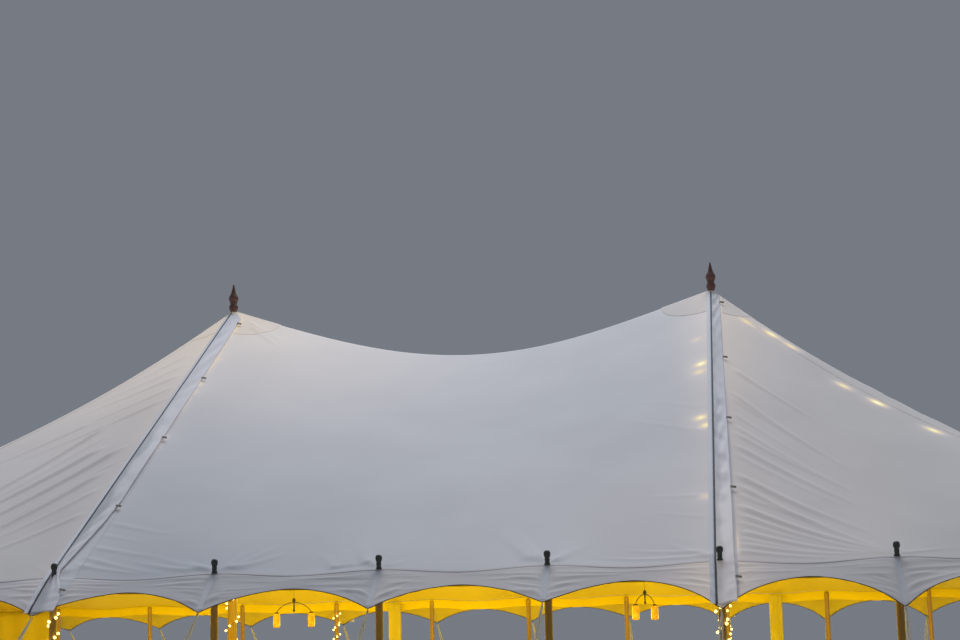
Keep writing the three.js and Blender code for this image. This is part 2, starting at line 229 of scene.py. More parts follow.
def amount_of(tree, name):
    """The number that a mesh stores for each of its points under this name."""
    return add_node(tree, "ShaderNodeAttribute", {"attribute_name": name}).outputs["Fac"]


def finish_material(tree, values, links):
    """Add the shader with its output node, and give back the shader."""
    shader = add_node(tree, "ShaderNodeBsdfPrincipled", values=values, links=links)
    add_node(tree, "ShaderNodeOutputMaterial", links={"Surface": shader.outputs["BSDF"]})
    return shader


# %% [markdown]
# ## Canvas
# Marquee canvas is a close plain weave of cotton and polyester, proofed and matt. Its
# threads are about 0.6 mm apart, which is too fine to show, so the weave is drawn 6 mm
# wide and very shallow. Rain and handling leave faint clouds about a metre across. The
# lights inside shine through it: an attribute named glow holds how much of them gets
# through at each place, so the spots belong to the cloth. A second attribute holds painted
# shade: how much greyer the cloth is drawn low on the roof and in the hollows and parts of
# the flaps, together with some random grey mottling on the flaps.

# %% Canvas materials
WEAVE_DRAWN = 0.006
WEAVE_DEEP = 0.0008
CLOUD_SIZE = 1.1
GLOW_COLOURS = [
    (0.02, "#ffdcc4"), (0.18, "#ffdfb8"), (0.34, "#ffd050"), (0.55, "#ffec70"), (0.9, "#fff6a8"),
]
# The grey that painted shade and random mottling mix into the canvas
SHADE_AND_MOTTLING_COLOUR = "#9ca9b5"


def make_canvas(name, light, dark, glow=True, painted_shade_and_mottling=False):
    material, tree = new_material(name)
    clouds = noise(tree, object_place(tree), 1 / CLOUD_SIZE, 3.0)
    colour = colour_steps(tree, clouds, [(0.3, dark), (0.7, light)])
    # Painted shade and random mottling: grey mixed in by a stored amount
    if painted_shade_and_mottling:
        mix = add_node(
            tree, "ShaderNodeMixRGB", values={"Color2": tint(SHADE_AND_MOTTLING_COLOUR)},
            links={"Fac": amount_of(tree, "painted_shade_and_mottling"), "Color1": colour},
        )
        colour = mix.outputs["Color"]
    cloth = add_node(tree, "ShaderNodeUVMap", {"uv_map": "cloth"}).outputs["UV"]
    threads = noise(tree, cloth, 1 / WEAVE_DRAWN)
    shader = finish_material(
        tree, {"Roughness": 0.88, "Specular IOR Level": 0.25, "Sheen Weight": 0.15},
        {"Base Color": colour, "Normal": raised(tree, threads, 0.25, WEAVE_DEEP)},
    )
    if glow:
        amount = amount_of(tree, "glow")
        tree.links.new(amount, shader.inputs["Emission Strength"])
        tree.links.new(colour_steps(tree, amount, GLOW_COLOURS), shader.inputs["Emission Color"])
    return material


canvas = make_canvas("proofed_canvas", "#dddfe5", "#d5d7de", painted_shade_and_mottling=True)
end_canvas = make_canvas("end_canvas", "#dddada", "#d5d2d3", painted_shade_and_mottling=True)
valance_canvas = make_canvas("valance_canvas", "#d9d8dc", "#d0cfd4")
# Painted light: the flaps' cloth is drawn lighter than the roof's, so that the flaps come out as light as
# the roof.
lightened_flap_canvas = make_canvas("lightened_flap_cloth", "#edeff7", "#e5e8f1", painted_shade_and_mottling=True)
# Painted lamp light: the lamp side of the walls and the cloth under the roof are warm yellow copies of the
# canvas.
wall_canvas = make_canvas("wall_canvas", "#d2be58", "#c4b04a", glow=False)
lit_canvas = make_canvas("lamp_lit_canvas", "#dec21c", "#d3b616", glow=False)
print("canvas materials", len(bpy.data.materials))

# %% [markdown]
# ## Wood, paint, rope, steel and lamps
# The poles are varnished softwood: the grain runs up the pole in streaks about 4 mm wide.
# The caps are turned hardwood in dark green satin paint, and the finials are turned and
# stained. Stakes and rings are galvanised steel, dull and finely mottled. The guy ropes
# are pale laid rope, and the scallops are bound with brown cotton tape.

# %% Hard and rope materials
def make_wood(name, light, dark, roughness, streak=0.004, long_streak=0.5, coat=0.0):
    material, tree = new_material(name)
    stretched = add_node(
        tree, "ShaderNodeMapping",
        values={"Scale": (1 / streak, 1 / streak, 1 / long_streak)}, links={"Vector": object_place(tree)},
    )
    grain = noise(tree, stretched.outputs["Vector"], 0.35, 5.0, 0.6)
    colour = colour_steps(tree, grain, [(0.3, dark), (0.72, light)])
    finish_material(
        tree, {"Roughness": roughness, "Coat Weight": coat, "Coat Roughness": 0.25},
        {"Base Color": colour, "Normal": raised(tree, grain, 0.3, 0.001)},
    )
    return material


def make_mottled(name, light, dark, roughness, metallic=0.0, size=0.02):
    material, tree = new_material(name)
    mottle = noise(tree, object_place(tree), 1 / size, 4.0)
    colour = colour_steps(tree, mottle, [(0.35, dark), (0.65, light)])
    finish_material(
        tree, {"Roughness": roughness, "Metallic": metallic},
        {"Base Color": colour, "Normal": raised(tree, mottle, 0.2, 0.0006)},
    )
    return material


pole_wood = make_wood("varnished_softwood", "#b7934e", "#83602b", 0.45, coat=0.2)
finial_wood = make_wood("stained_turned_wood", "#8a6053", "#5c3b33", 0.5, streak=0.006, coat=0.15)
toggle_wood = make_wood("weathered_toggle_wood", "#b8b2a7", "#96908a", 0.8, streak=0.003, long_streak=0.05)
cap_paint = make_mottled("dark_green_satin_paint", "#474e45", "#363c36", 0.62)
steel = make_mottled("galvanised_steel", "#9a9c9c", "#74777a", 0.5, metallic=0.9, size=0.015)
rope = make_mottled("laid_rope", "#d8d0bd", "#b3aa93", 0.85, size=0.006)
tape = make_mottled("brown_binding_tape", "#4a3a28", "#33271b", 0.8, size=0.006)
seam_cord = make_mottled("dark_seam_cord", "#56575d", "#424348", 0.8, size=0.01)
flex_cover = make_mottled("lamp_flex", "#26331f", "#1b2517", 0.55, size=0.01)


LAMP_STRENGTH = 3.2


def make_lamp_glass():
    material, tree = new_material("warm_lamp_glass")
    haze = noise(tree, object_place(tree), 300.0)
    colour = colour_steps(tree, haze, [(0.3, "#ffd866"), (0.7, "#ffe9a0")])
    finish_material(
        tree, {"Roughness": 0.2, "Emission Strength": LAMP_STRENGTH},
        {"Base Color": colour, "Emission Color": colour},
    )
    return material


lamp_glass = make_lamp_glass()
print("materials", len(bpy.data.materials))

# %% [markdown]
# ## Cloth from a grid
# Every sheet starts as one flat grid. A rule then places each of its points, and the
# grid's own two directions become a UV map in metres, so the weave runs with the cloth.
# Grids keep the faces even, which lets long soft folds shade cleanly.

# %% Helpers for sheets and pieces
# A fold reaches its height in the first tenth of its length, and then fades by a power
FOLD_RISE = 10
FOLD_FADE = 0.6


def fade(distance, reach):
    """1 at no distance, falling smoothly to almost nothing at twice the reach."""
    return np.exp(-((distance / reach) ** 2))


def fold_line(x, y, start, end, height, width):
    """One tension fold: a soft ridge from start to end in the plan, narrowing as it goes."""
    run_x, run_y = end[0] - start[0], end[1] - start[1]
    length = math.hypot(run_x, run_y)
    share = ((x - start[0]) * run_x + (y - start[1]) * run_y) / length**2
    off = ((x - start[0]) * run_y - (y - start[1]) * run_x) / length
    inside = np.clip(share, 0, 1)
    taper = np.minimum(inside * FOLD_RISE, 1) * (1 - inside) ** FOLD_FADE
    return height * taper * fade(off, width * (1.15 - 0.5 * inside))


def unevenness(x, y, size, seed):
    """Gentle seeded swells of about 1 either way, of the given size in metres."""
    draw = random.Random(seed)
    total = np.zeros_like(x)
    for _ in range(5):
        turn = draw.uniform(0, 2 * math.pi)
        length = size * draw.uniform(0.7, 1.6)
        start = draw.uniform(0, 6)
        total += np.sin((x * math.cos(turn) + y * math.sin(turn)) * 2 * math.pi / length + start)
    return total / 3


def place_grid(columns, rows, rule):
    """A bmesh grid whose points are placed by rule(u, v), with u and v from 0 to 1."""
    bm = bmesh.new()
    bmesh.ops.create_grid(bm, x_segments=columns, y_segments=rows, size=0.5)
    flat = np.array([vertex.co[:2] for vertex in bm.verts]) + 0.5
    x, y, z = np.broadcast_arrays(*rule(flat[:, 0], flat[:, 1]))
    for vertex, point in zip(bm.verts, zip(x.tolist(), y.tolist(), z.tolist())):
        vertex.co = point
    return bm, flat


def keep_piece(name, bm, material, nodes=()):
    """Turn a bmesh into a finished piece that rides on the tent and stands for its solids."""
    mesh = bpy.data.meshes.new(name)
    bm.to_mesh(mesh)
    bm.free()
    mesh.materials.append(material)
    mesh.shade_smooth()
    piece = bpy.data.objects.new(name, mesh)
    scene.collection.objects.link(piece)
    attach(piece, "root")
    if nodes:
        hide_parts(*nodes)
    return piece


def give_amount(piece, name, values):
    """Store one number for each point of a piece."""
    attribute = piece.data.attributes.new(name, "FLOAT", "POINT")
    attribute.data.foreach_set("value", np.asarray(values, dtype=np.float32))


def give_cloth_map(piece, cloth_x, cloth_y, glow=None):
    """Store the flat cloth's measures as a UV map, and the light that shines through it."""
    mesh = piece.data
    corners = np.empty(len(mesh.loops), dtype=np.int32)
    mesh.loops.foreach_get("vertex_index", corners)
    layer = mesh.uv_layers.new(name="cloth")
    layer.data.foreach_set("uv", np.stack([cloth_x[corners], cloth_y[corners]], axis=1).ravel())
    give_amount(piece, "glow", np.zeros(len(mesh.vertices)) if glow is None else glow)


def cloth_piece(
    name, columns, rows, rule, size, material, nodes=(), glow_rule=None, flip=False, painted_shade_and_mottling_rule=None
):
    """A sheet of cloth: size is the width and length of the flat cloth in metres."""
    bm, flat = place_grid(columns, rows, rule)
    if flip:
        bmesh.ops.reverse_faces(bm, faces=bm.faces)
    points = np.array([vertex.co[:] for vertex in bm.verts]).T
    glow = glow_rule(*points) if glow_rule else None
    piece = keep_piece(name, bm, material, nodes)
    give_cloth_map(piece, flat[:, 0] * size[0], flat[:, 1] * size[1], glow)
    if painted_shade_and_mottling_rule:
        give_amount(piece, "painted_shade_and_mottling", painted_shade_and_mottling_rule(flat[:, 0], flat[:, 1], *points))
    return piece


def inner_side(piece, material):
    """Give a sheet its thickness, and painted lamp light, a warm colour, on the side of the lamps."""
    piece.data.materials.append(material)
    layer = piece.modifiers.new("cloth_thickness", "SOLIDIFY")
    layer.thickness = 0.001
    layer.material_offset = 1


# %% [markdown]
# ## Where the cloth is pulled
# The canvas isn't smooth everywhere. On the right end folds fan out from the edge of the
# cover flap towards the next pole's cap. On the left end they run beside the hip. Small
# gathers stand over each cap, where the eyelet takes the pull. Each fold is one line in
# the plan with a height and a width, and the same lists serve front and back.

# %% Folds of the roof
FOLD = 0.016
FOLD_WIDTH = 0.027
# Height and size of the gentle swells between the folds
SWELL = 0.004
SWELL_SIZE = 1.9
# A fold is worked out only this near to its line, and folds end this near to the eave
NEAR = 0.15
EDGE_FADE = 0.1
GATHERS_AT_CAP = 6
FOLDS_AT_HIP = 7
RIGHT_FAN = [
    ((3.24, -2.11), (4.10, -3.05), 1.1), ((3.19, -2.70), (4.34, -4.22), 1.3),
    ((3.19, -2.83), (3.95, -3.72), 0.5), ((3.21, -3.20), (3.95, -4.05), 0.5),
    ((3.21, -3.49), (4.36, -4.78), 1.0), ((3.21, -3.65), (4.30, -4.72), 0.9),
    ((3.21, -3.92), (4.38, -5.08), 1.2), ((3.21, -4.12), (4.20, -5.05), 0.6),
    ((3.20, -4.54), (4.42, -5.63), 1.4), ((3.20, -4.74), (4.50, -5.97), 1.2),
    ((3.20, -4.92), (4.20, -5.57), 0.6), ((3.20, -5.14), (4.51, -6.00), 1.5),
    ((3.21, -5.30), (4.46, -6.03), 0.9), ((3.20, -5.44), (4.10, -5.86), 0.5),
    ((3.20, -5.60), (4.45, -6.04), 0.9), ((3.20, -5.72), (3.95, -5.93), 0.5),
    ((3.20, -5.82), (4.40, -6.04), 0.7), ((3.20, -5.94), (4.20, -6.05), 0.6),
]
LEFT_RUN = [
    ((-3.30, -1.06), (-4.20, -1.33), 0.7), ((-3.22, -1.40), (-4.45, -1.66), 0.6),
    ((-3.20, -1.72), (-4.60, -1.98), 0.9), ((-3.16, -2.05), (-4.30, -2.45), 0.7),
    ((-3.14, -2.37), (-4.70, -3.15), 0.9), ((-4.00, -2.40), (-5.20, -3.20), 0.8),
    ((-3.70, -2.66), (-5.25, -5.35), 1.5), ((-3.62, -2.98), (-4.95, -5.10), 0.6),
    ((-3.52, -3.34), (-4.95, -5.25), 1.6), ((-3.25, -3.46), (-4.75, -5.50), 1.6),
    ((-3.22, -3.80), (-4.45, -5.45), 0.6), ((-3.28, -4.02), (-4.60, -5.80), 1.3),
    ((-3.18, -4.40), (-4.30, -5.60), 0.6), ((-3.17, -4.91), (-4.20, -5.75), 0.7),
]
MIDDLE_LINES = [
    ((2.97, -3.13), (2.10, -2.55), 0.3), ((2.97, -3.69), (2.05, -3.02), 0.4),
    ((2.93, -4.96), (2.30, -4.86), 0.3), ((2.93, -5.35), (2.40, -5.17), 0.3),
    ((2.93, -5.95), (2.20, -5.82), 0.4), ((2.93, -6.02), (2.00, -5.95), 0.5),
    ((-2.85, -5.14), (-2.10, -5.33), 0.4), ((-2.89, -5.58), (-2.10, -5.74), 0.5),
    ((-2.91, -5.76), (-2.05, -6.03), 0.5), ((-2.94, -5.90), (-2.20, -6.02), 0.5),
    ((-2.87, -5.36), (-2.40, -5.46), 0.3), ((-1.61, -6.04), (-1.95, -5.78), 0.6),
    ((-1.66, -6.02), (-2.20, -5.72), 0.6), ((-1.72, -6.04), (-2.40, -5.80), 0.7),
    ((-1.43, -6.03), (-1.29, -5.62), 0.8), ((-1.39, -6.03), (-1.05, -5.50), 0.8),
    ((-1.38, -6.05), (-0.95, -5.66), 0.9), ((-0.43, -6.04), (-0.64, -5.64), 0.8),
    ((-0.40, -6.04), (-0.52, -5.72), 0.8), ((-0.35, -6.02), (-0.46, -5.60), 0.8),
    ((-0.27, -6.02), (-0.38, -5.62), 0.8), ((-0.14, -6.01), (-0.30, -5.58), 1.0),
    ((-0.09, -6.01), (-0.26, -5.50), 0.9), ((1.37, -6.03), (0.95, -5.28), 0.9),
    ((1.40, -6.02), (1.00, -5.22), 0.7), ((1.46, -6.02), (1.10, -5.28), 0.8),
    ((-2.80, -0.18), (-2.30, -0.46), 1.0), ((-2.76, -0.27), (-2.25, -0.68), 1.0),
]


def cap_gathers():
    """Short folds that rise from each cap, seeded so that every pole differs."""
    draw = random.Random(7)
    gathers = []
    for side, (half, place) in SIDES.items():
        for k in range(-round(half / BAY) + 1, round(half / BAY)):
            for _ in range(GATHERS_AT_CAP):
                lean, reach = draw.uniform(-1.25, 1.25), draw.uniform(0.25, 0.6)
                away = math.copysign(0.05, lean)
                start = place(k * BAY + away, -0.04)
                end = place(k * BAY + away + reach * math.sin(lean), -0.04 - reach * math.cos(lean))
                gathers.append((start, end, draw.uniform(0.25, 0.6)))
    return gathers


def end_side_folds():
    """Folds on the two end slopes: a few beside the hips and a few from the eave up."""
    draw = random.Random(11)
    folds = []
    for end in (-1, 1):
        for hip in (-1, 1):
            for _ in range(FOLDS_AT_HIP):
                out = draw.uniform(1.4, 3.2)
                inside = draw.uniform(0.35, 1.5)
                length = draw.uniform(1.2, 2.6)
                start = (end * (HALF_MIDDLE + out), hip * (out - inside))
                finish = (start[0] + end * length, start[1] + hip * length * 0.85)
                folds.append((start, finish, draw.uniform(0.4, 0.9)))
    return folds


FOLDS = []
for listed, weight in ((RIGHT_FAN, 1.1), (LEFT_RUN, 1.5), (MIDDLE_LINES, 1.2)):
    FOLDS += [(start, end, share * weight) for start, end, share in listed]
    FOLDS += [((start[0], -start[1]), (end[0], -end[1]), share * weight) for start, end, share in listed]
FOLDS += cap_gathers() + end_side_folds()


def roof_lift(x, y):
    """Height of the folds and swells over the smooth roof."""
    total = SWELL * unevenness(x, y, SWELL_SIZE, 3)
    for start, end, share in FOLDS:
        near = (x > min(start[0], end[0]) - NEAR) & (x < max(start[0], end[0]) + NEAR)
        near &= (y > min(start[1], end[1]) - NEAR) & (y < max(start[1], end[1]) + NEAR)
        if near.any():
            width = FOLD_WIDTH * (0.75 + 0.35 * min(share, 1.4))
            total[near] += fold_line(x[near], y[near], start, end, FOLD * share, width)
    to_edge = np.minimum(HALF_LENGTH - np.abs(x), HALF_WIDTH - np.abs(y))
    return total * np.clip(to_edge / EDGE_FADE, 0, 1)


print("folds", len(FOLDS))

# %% [markdown]
# ## Lamps under the canvas
# Small lamps hang in strings just under the right hips and all the king seams. Each one
# makes a soft spot on the cloth over it. The same lists place the lamps and light the
# spots. Wider patches of light lie round the king poles and low beside the right seam.

# %% Lamp places and the glow of the cloth
LAMP_DROP = 0.05
HIP_LAMPS = [
    (0.41, 0.62, 0.5), (0.69, 0.76, 0.9), (0.91, 0.95, 0.7), (1.43, 1.78, 0.8), (1.77, 2.07, 1.2),
    (2.29, 2.63, 1.0), (2.90, 3.15, 0.4), (3.45, 3.70, 0.8), (3.98, 4.22, 0.5), (4.70, 4.95, 0.7),
]
SEAM_LAMPS = [
    (0.19, 1.34, 0.25), (0.14, 2.03, 0.9), (0.16, 2.23, 0.5), (0.15, 3.34, 0.8), (0.10, 3.53, 0.7),
    (0.12, 4.98, 0.3),
]
HIP_SPOT = 0.09
SEAM_SPOT = 0.055
SPOT_WIDE = 0.05
SPOT_GLOW = 0.62
HALO = 0.16
HALO_GLOW = 0.09
# The lamps under the left seams are seen much more weakly
LEFT_SEAM_POWER = 0.3
CLOTH_GLOW = 0.01
# Wide patches of light: how strong, where, how much y counts, and how far they reach
WIDE_GLOWS = [(0.2, -2.9, 0.0, 1.0, 2.3), (0.05, 2.8, 5.3, 1.0, 1.6), (0.03, HALF_MIDDLE, 0.0, 0.7, 1.2)]
LEFT_END_GLOW = 0.02
RIGHT_SEAM_GLOW = 0.13
SEAM_GLOW = 0.03
LEFT_LEAK = 0.14
RIGHT_LEAK = 0.26
# How grey the painted shade on the low parts of the roof is
LOW_SHADE_GREY = 0.36

# Each lamp: place, power of its spot, the direction the spot is drawn out in, and how far
lamp_places = []
for end in (-1, 1):
    for depth in (-1, 1):
        for over, aside, power in HIP_LAMPS if end > 0 else ():
            place = (end * (HALF_MIDDLE + over), depth * aside)
            lamp_places.append((*place, power, end * 0.7, depth * 0.7, HIP_SPOT))
        for inset, aside, power in SEAM_LAMPS:
            place = (end * (HALF_MIDDLE - inset), depth * aside)
            seen = power if end > 0 else power * LEFT_SEAM_POWER
            lamp_places.append((*place, seen, 0.95, -depth * 0.3, SEAM_SPOT))


def seam_leak(x, y):
    """Light that gets out beside a cover flap, in a few places along its loose edge."""
    aside = np.abs(y)
    left = fade(x + 2.90, 0.035) * (0.2 + 0.8 * np.sin(aside * 2.9 + 0.4) ** 4)
    left = left * np.interp(aside, [4.4, 5.4], [1.0, 0.25])
    right = fade(x - 3.19, 0.03) * fade(aside - 5.82, 0.2)
    return LEFT_LEAK * left + RIGHT_LEAK * right


def roof_glow(x, y, z):
    """How much lamp light comes through the cloth at each of its points."""
    aside = np.abs(y)
    total = CLOTH_GLOW + seam_leak(x, y)
    for strength, glow_x, glow_y, squeeze, reach in WIDE_GLOWS:
        total += strength * fade(np.hypot(x - glow_x, (aside - glow_y) * squeeze), reach)
    total += LEFT_END_GLOW * (x < -HALF_MIDDLE) * np.interp(aside, [4.5, 5.8], [1.0, 0.0])
    reach = np.where(x > HALF_MIDDLE, 0.6, 0.38)
    down = np.interp(aside, [0, 2.6, 4.2], [1.0, 0.7, 0.1])
    total += RIGHT_SEAM_GLOW * fade(x - HALF_MIDDLE, reach) * down
    total += SEAM_GLOW * fade(np.abs(x) - HALF_MIDDLE, 0.2)
    for lamp_x, lamp_y, power, way_x, way_y, spot_long in lamp_places:
        along = (x - lamp_x) * way_x + (y - lamp_y) * way_y
        across = (x - lamp_x) * way_y - (y - lamp_y) * way_x
        total += power * SPOT_GLOW * fade(along, spot_long) * fade(across, SPOT_WIDE)
        total += power * HALO_GLOW * fade(np.hypot(along, across), HALO)
    return total


def painted_low_shade(u, v, x, y, z):
    """Painted shade: the low parts of the roof are drawn a little greyer, left of the middle and on the
    right end.
    """
    low = (np.abs(y) / HALF_WIDTH) ** 3
    middle = fade(x + 1.9, 1.3) * (np.abs(x) < HALF_MIDDLE)
    return LOW_SHADE_GREY * low * (middle + np.clip(x - 4.4, 0, 1))


print("lamps under the roof", len(lamp_places))

# %% [markdown]
# ## The roof canvas
# Each section is one continuous sheet. The middle one goes from the front eave over the
# sagging ridge to the back eave. Each end is a fan of three slopes round its king pole,
# so its grid runs round the apex in one direction and down the slope in the other. The
# rows lie closer together near the eave, where the small gathers are.

# %% Roof canvas
SEAM_GAP = 0.004
SLOPE = math.hypot(HALF_WIDTH, RISE)
PIN_HOLE = 0.014
# Share of the rows and columns that lie on the front, where most folds are
FRONT_ROWS = 0.65
FAN_COLUMNS = [0, 0.3, 0.52, 0.7, 0.8, 1]
FAN_TURNS = [0, 0.38, 1, 3, 3.45, 4]


def run_down(share):
    """Spread rows down a slope, closer together near the eave."""
    return 1 - (1 - share) ** 1.25


def middle_rule(u, v):
    x = (2 * u - 1) * (HALF_MIDDLE - SEAM_GAP)
    down = np.interp(v, [0, FRONT_ROWS, 1], [-1, 0, 1])
    y = np.sign(down) * run_down(np.abs(down)) * HALF_WIDTH
    return x, y, roof_height(x, y) + roof_lift(x, y)


def end_rule(end):
    def rule(u, v):
        # u turns from the front seam over the side to the back seam
        turn = np.interp(u, FAN_COLUMNS, FAN_TURNS)
        run = np.maximum(run_down(v), PIN_HOLE / HALF_WIDTH)
        across = np.where(turn < 1, turn, np.where(turn > 3, 4 - turn, 1))
        depth = np.where(turn < 1, -1, np.where(turn > 3, 1, turn - 2))
        x = end * (HALF_MIDDLE + SEAM_GAP + (HALF_WIDTH * run - SEAM_GAP) * across)
        y = HALF_WIDTH * run * depth
        return x, y, roof_height(x, y) + roof_lift(x, y)

    return rule


roof_pieces = [
    cloth_piece(
        "middle_canvas", 170, 350, middle_rule, (2 * HALF_MIDDLE, 2 * SLOPE), canvas,
        ("roof_middle_front", "roof_middle_back"), roof_glow, painted_shade_and_mottling_rule=painted_low_shade,
    )
]
for label, end in ENDS.items():
    roof_pieces.append(
        cloth_piece(
            f"{label}_end_canvas", 310, 190, end_rule(end), (4 * HALF_WIDTH, SLOPE), end_canvas,
            (f"roof_{label}_front", f"roof_{label}_side", f"roof_{label}_back"), roof_glow, flip=end > 0,
            painted_shade_and_mottling_rule=painted_low_shade,
        )
    )
for piece in roof_pieces:
    print(piece.name, "faces", len(piece.data.polygons))

# %% [markdown]
# ## Round and turned parts
# Poles, caps and finials are turned on a lathe, so each is a profile spun round an
# upright axis. Cords, beads and ropes are tubes: a grid is wrapped round a path, and its
# long seam is merged.

# %% Helpers for turned parts and tubes
def turn_profile(bm, profile, centre, steps):
    """Spin a profile of (radius, height) round an upright axis through centre."""
    made = [bm.verts.new((centre[0] + r, centre[1], z)) for r, z in profile]
    edges = [bm.edges.new(pair) for pair in zip(made, made[1:])]
    bmesh.ops.spin(
        bm, geom=made + edges, cent=(*centre[:2], 0), axis=(0, 0, 1), dvec=(0, 0, 0),
        angle=2 * math.pi, space=Matrix.Identity(4), steps=steps, use_merge=True,
    )


def close_turned(bm):
    """Merge the points on the axis, and turn every face outwards."""
    bmesh.ops.remove_doubles(bm, verts=bm.verts, dist=1e-5)
    bmesh.ops.recalc_face_normals(bm, faces=bm.faces)


def wrap_tube(path, sides, section):
    """A closed tube round a path. section(turn, row) gives its across and up offsets."""
    path = np.array(path, dtype=float)
    rows = len(path) - 1
    bm = bmesh.new()
    bmesh.ops.create_grid(bm, x_segments=sides, y_segments=rows, size=0.5)
    along = np.gradient(path, axis=0)
    along /= np.linalg.norm(along, axis=1)[:, None]
    upright = np.array([0.0, 0.0, 1.0])
    across = np.cross(along, upright)
    short = np.linalg.norm(across, axis=1) < 1e-4
    across[short] = np.cross(along[short], [1.0, 0.0, 0.0])
    across /= np.linalg.norm(across, axis=1)[:, None]
    over = np.cross(across, along)
    for vertex in bm.verts:
        row = round((vertex.co.y + 0.5) * rows)
        a, b = section((vertex.co.x + 0.5) * 2 * math.pi, row)
        vertex.co = path[row] + across[row] * a + over[row] * b
    bmesh.ops.remove_doubles(bm, verts=bm.verts, dist=1e-5)
    rims = [edge for edge in bm.edges if edge.is_boundary]
    bmesh.ops.holes_fill(bm, edges=rims, sides=0)
    bmesh.ops.recalc_face_normals(bm, faces=bm.faces)
    return bm


def round_section(radius, flat=1.0):
    """A round section, or a flat one when its height is only a share of its width."""
    return lambda turn, row: (radius * math.cos(turn), radius * flat * math.sin(turn))


def join_bmesh(parts):
    """Put several bmeshes into one."""
    whole = bmesh.new()
    for part in parts:
        mesh = bpy.data.meshes.new("part")
        part.to_mesh(mesh)
        part.free()
        whole.from_mesh(mesh)
        bpy.data.meshes.remove(mesh)
    return whole


# %% [markdown]
# ## Seams of the roof
# A double layer of cloth runs over each hip, and a sewn band follows the eave line. At
# each king pole a round crown patch strengthens the cloth. The edge of a seam is a small
# rounded bead, drawn a little thick so that it still shows from a distance.

# %% Crown patches, hip bands and eave seam
LAYER = 0.003
BEAD = 0.0018
CROWN_RADIUS = 0.62
# Less light gets through the patch on the right, as if it were of thicker cloth
RIGHT_CROWN_GLOW = 0.6
HIP_BAND = 0.1
HIP_BAND_LAYER = 0.002
HIP_START = 0.02
EAVE_BAND_IN = 0.012
EAVE_BAND_OUT = 0.014


def on_roof(x, y, lift):
    return x, y, roof_height(x, y) + roof_lift(x, y) + lift


def crown_glow(end):
    return lambda x, y, z: roof_glow(x, y, z) * (RIGHT_CROWN_GLOW if end > 0 else 1.0)


def bead_along(x, y, z, radius=BEAD):
    return wrap_tube(np.stack([x, y, z], axis=1), 6, round_section(radius, 0.7))


for label, end in ENDS.items():
    king_x = end * HALF_MIDDLE

    def crown_rule(u, v, king_x=king_x):
        reach = PIN_HOLE + (CROWN_RADIUS - PIN_HOLE) * v
        return on_roof(king_x + reach * np.cos(2 * np.pi * u), reach * np.sin(2 * np.pi * u), LAYER)

    crown = cloth_piece(
        f"crown_patch_sheet_{label}", 96, 14, crown_rule, (2 * math.pi * CROWN_RADIUS, CROWN_RADIUS),
        end_canvas, (f"crown_patch_{label}",), crown_glow(end), flip=True,
    )
    turn = np.linspace(0, 2 * math.pi, 97)
    edge = on_roof(king_x + CROWN_RADIUS * np.cos(turn), CROWN_RADIUS * np.sin(turn), LAYER)
    # The left patch is pulled flat, so its edge hardly shows
    bead = bead_along(*edge, radius=BEAD if end > 0 else BEAD / 2)
    keep_piece(f"crown_seam_{label}", bead, end_canvas)

    beads = []
    for depth in (-1, 1):
        def hip_rule(u, v, end=end, depth=depth):
            run = HIP_START + (1 - HIP_START) * run_down(v)
            aside = (2 * u - 1) * HIP_BAND / math.sqrt(2)
            x = np.clip(end * (HALF_MIDDLE + HALF_WIDTH * run + aside), -HALF_LENGTH, HALF_LENGTH)
            y = np.clip(depth * (HALF_WIDTH * run - aside), -HALF_WIDTH, HALF_WIDTH)
            return on_roof(x, y, HIP_BAND_LAYER)

        name = "front" if depth < 0 else "back"
        band = cloth_piece(
            f"hip_band_{label}_{name}", 8, 180, hip_rule, (2 * HIP_BAND, 9.2), end_canvas,
            (), roof_glow, flip=end * depth < 0,
        )
        for u in (0.0, 1.0):
            line = hip_rule(np.full(120, u), np.linspace(0, 0.985, 120))
            beads.append(bead_along(*line, radius=0.001))
    keep_piece(f"hip_seams_{label}", join_bmesh(beads), end_canvas)


def eave_point(side, along, out, lift):
    """A place on the band that lies across the eave line, half on roof and half on valance."""
    inner = on_roof(*SIDES[side][1](along, np.minimum(out, 0)), 0.0)
    outer = valance_point(side, along, np.maximum(out, 0))
    x, y, z = (np.where(out < 0, a, b) for a, b in zip(inner, outer))
    return x, y, z + lift


for side, (half, _) in SIDES.items():
    def band_rule(u, v, side=side, half=half):
        out = EAVE_BAND_OUT - (EAVE_BAND_IN + EAVE_BAND_OUT) * v
        along = (2 * u - 1) * (half - np.maximum(-out, 0))
        return eave_point(side, along, out, LAYER)

    band = cloth_piece(
        f"eave_band_{side}", round(half * 24), 4, band_rule, (2 * half, 0.026), valance_canvas, (),
        roof_glow, flip=True,
    )
    u = np.linspace(0, 1, round(half * 24) + 1)
    line = band_rule(u, np.zeros_like(u))
    keep_piece(f"eave_seam_{side}", bead_along(*line, radius=0.0013), valance_canvas)
print("crowns, hip bands and eave bands made")

# %% [markdown]
# ## The scalloped valance
# Outside the eave the canvas goes on as a valance whose lower edge is cut in scallops, one
# to a bay. Its points are pulled out by the guy ropes, so short level creases gather on
# both sides of each point. A strip of webbing runs from the cap to each point, and the
# cut edge is bound with brown tape.

# %% Valance, strips and binding
SECTION_SPLIT = HALF_MIDDLE + 0.012
CORNER_TRIM = 0.012
BINDING = 0.0065


def side_lengths():
    """The lengths the valance is made in: label, side, and where each starts and stops."""
    found = []
    for side, (half, _) in SIDES.items():
        if half == HALF_WIDTH:
            found.append((f"{side}_side", side, -half + CORNER_TRIM, half - CORNER_TRIM))
        else:
            first, last = ("left", "right") if side == "front" else ("right", "left")
            found.append((f"{side}_{first}", side, -half, -SECTION_SPLIT))
            found.append((f"{side}_middle", side, -SECTION_SPLIT, SECTION_SPLIT))
            found.append((f"{side}_{last}", side, SECTION_SPLIT, half))
    return found


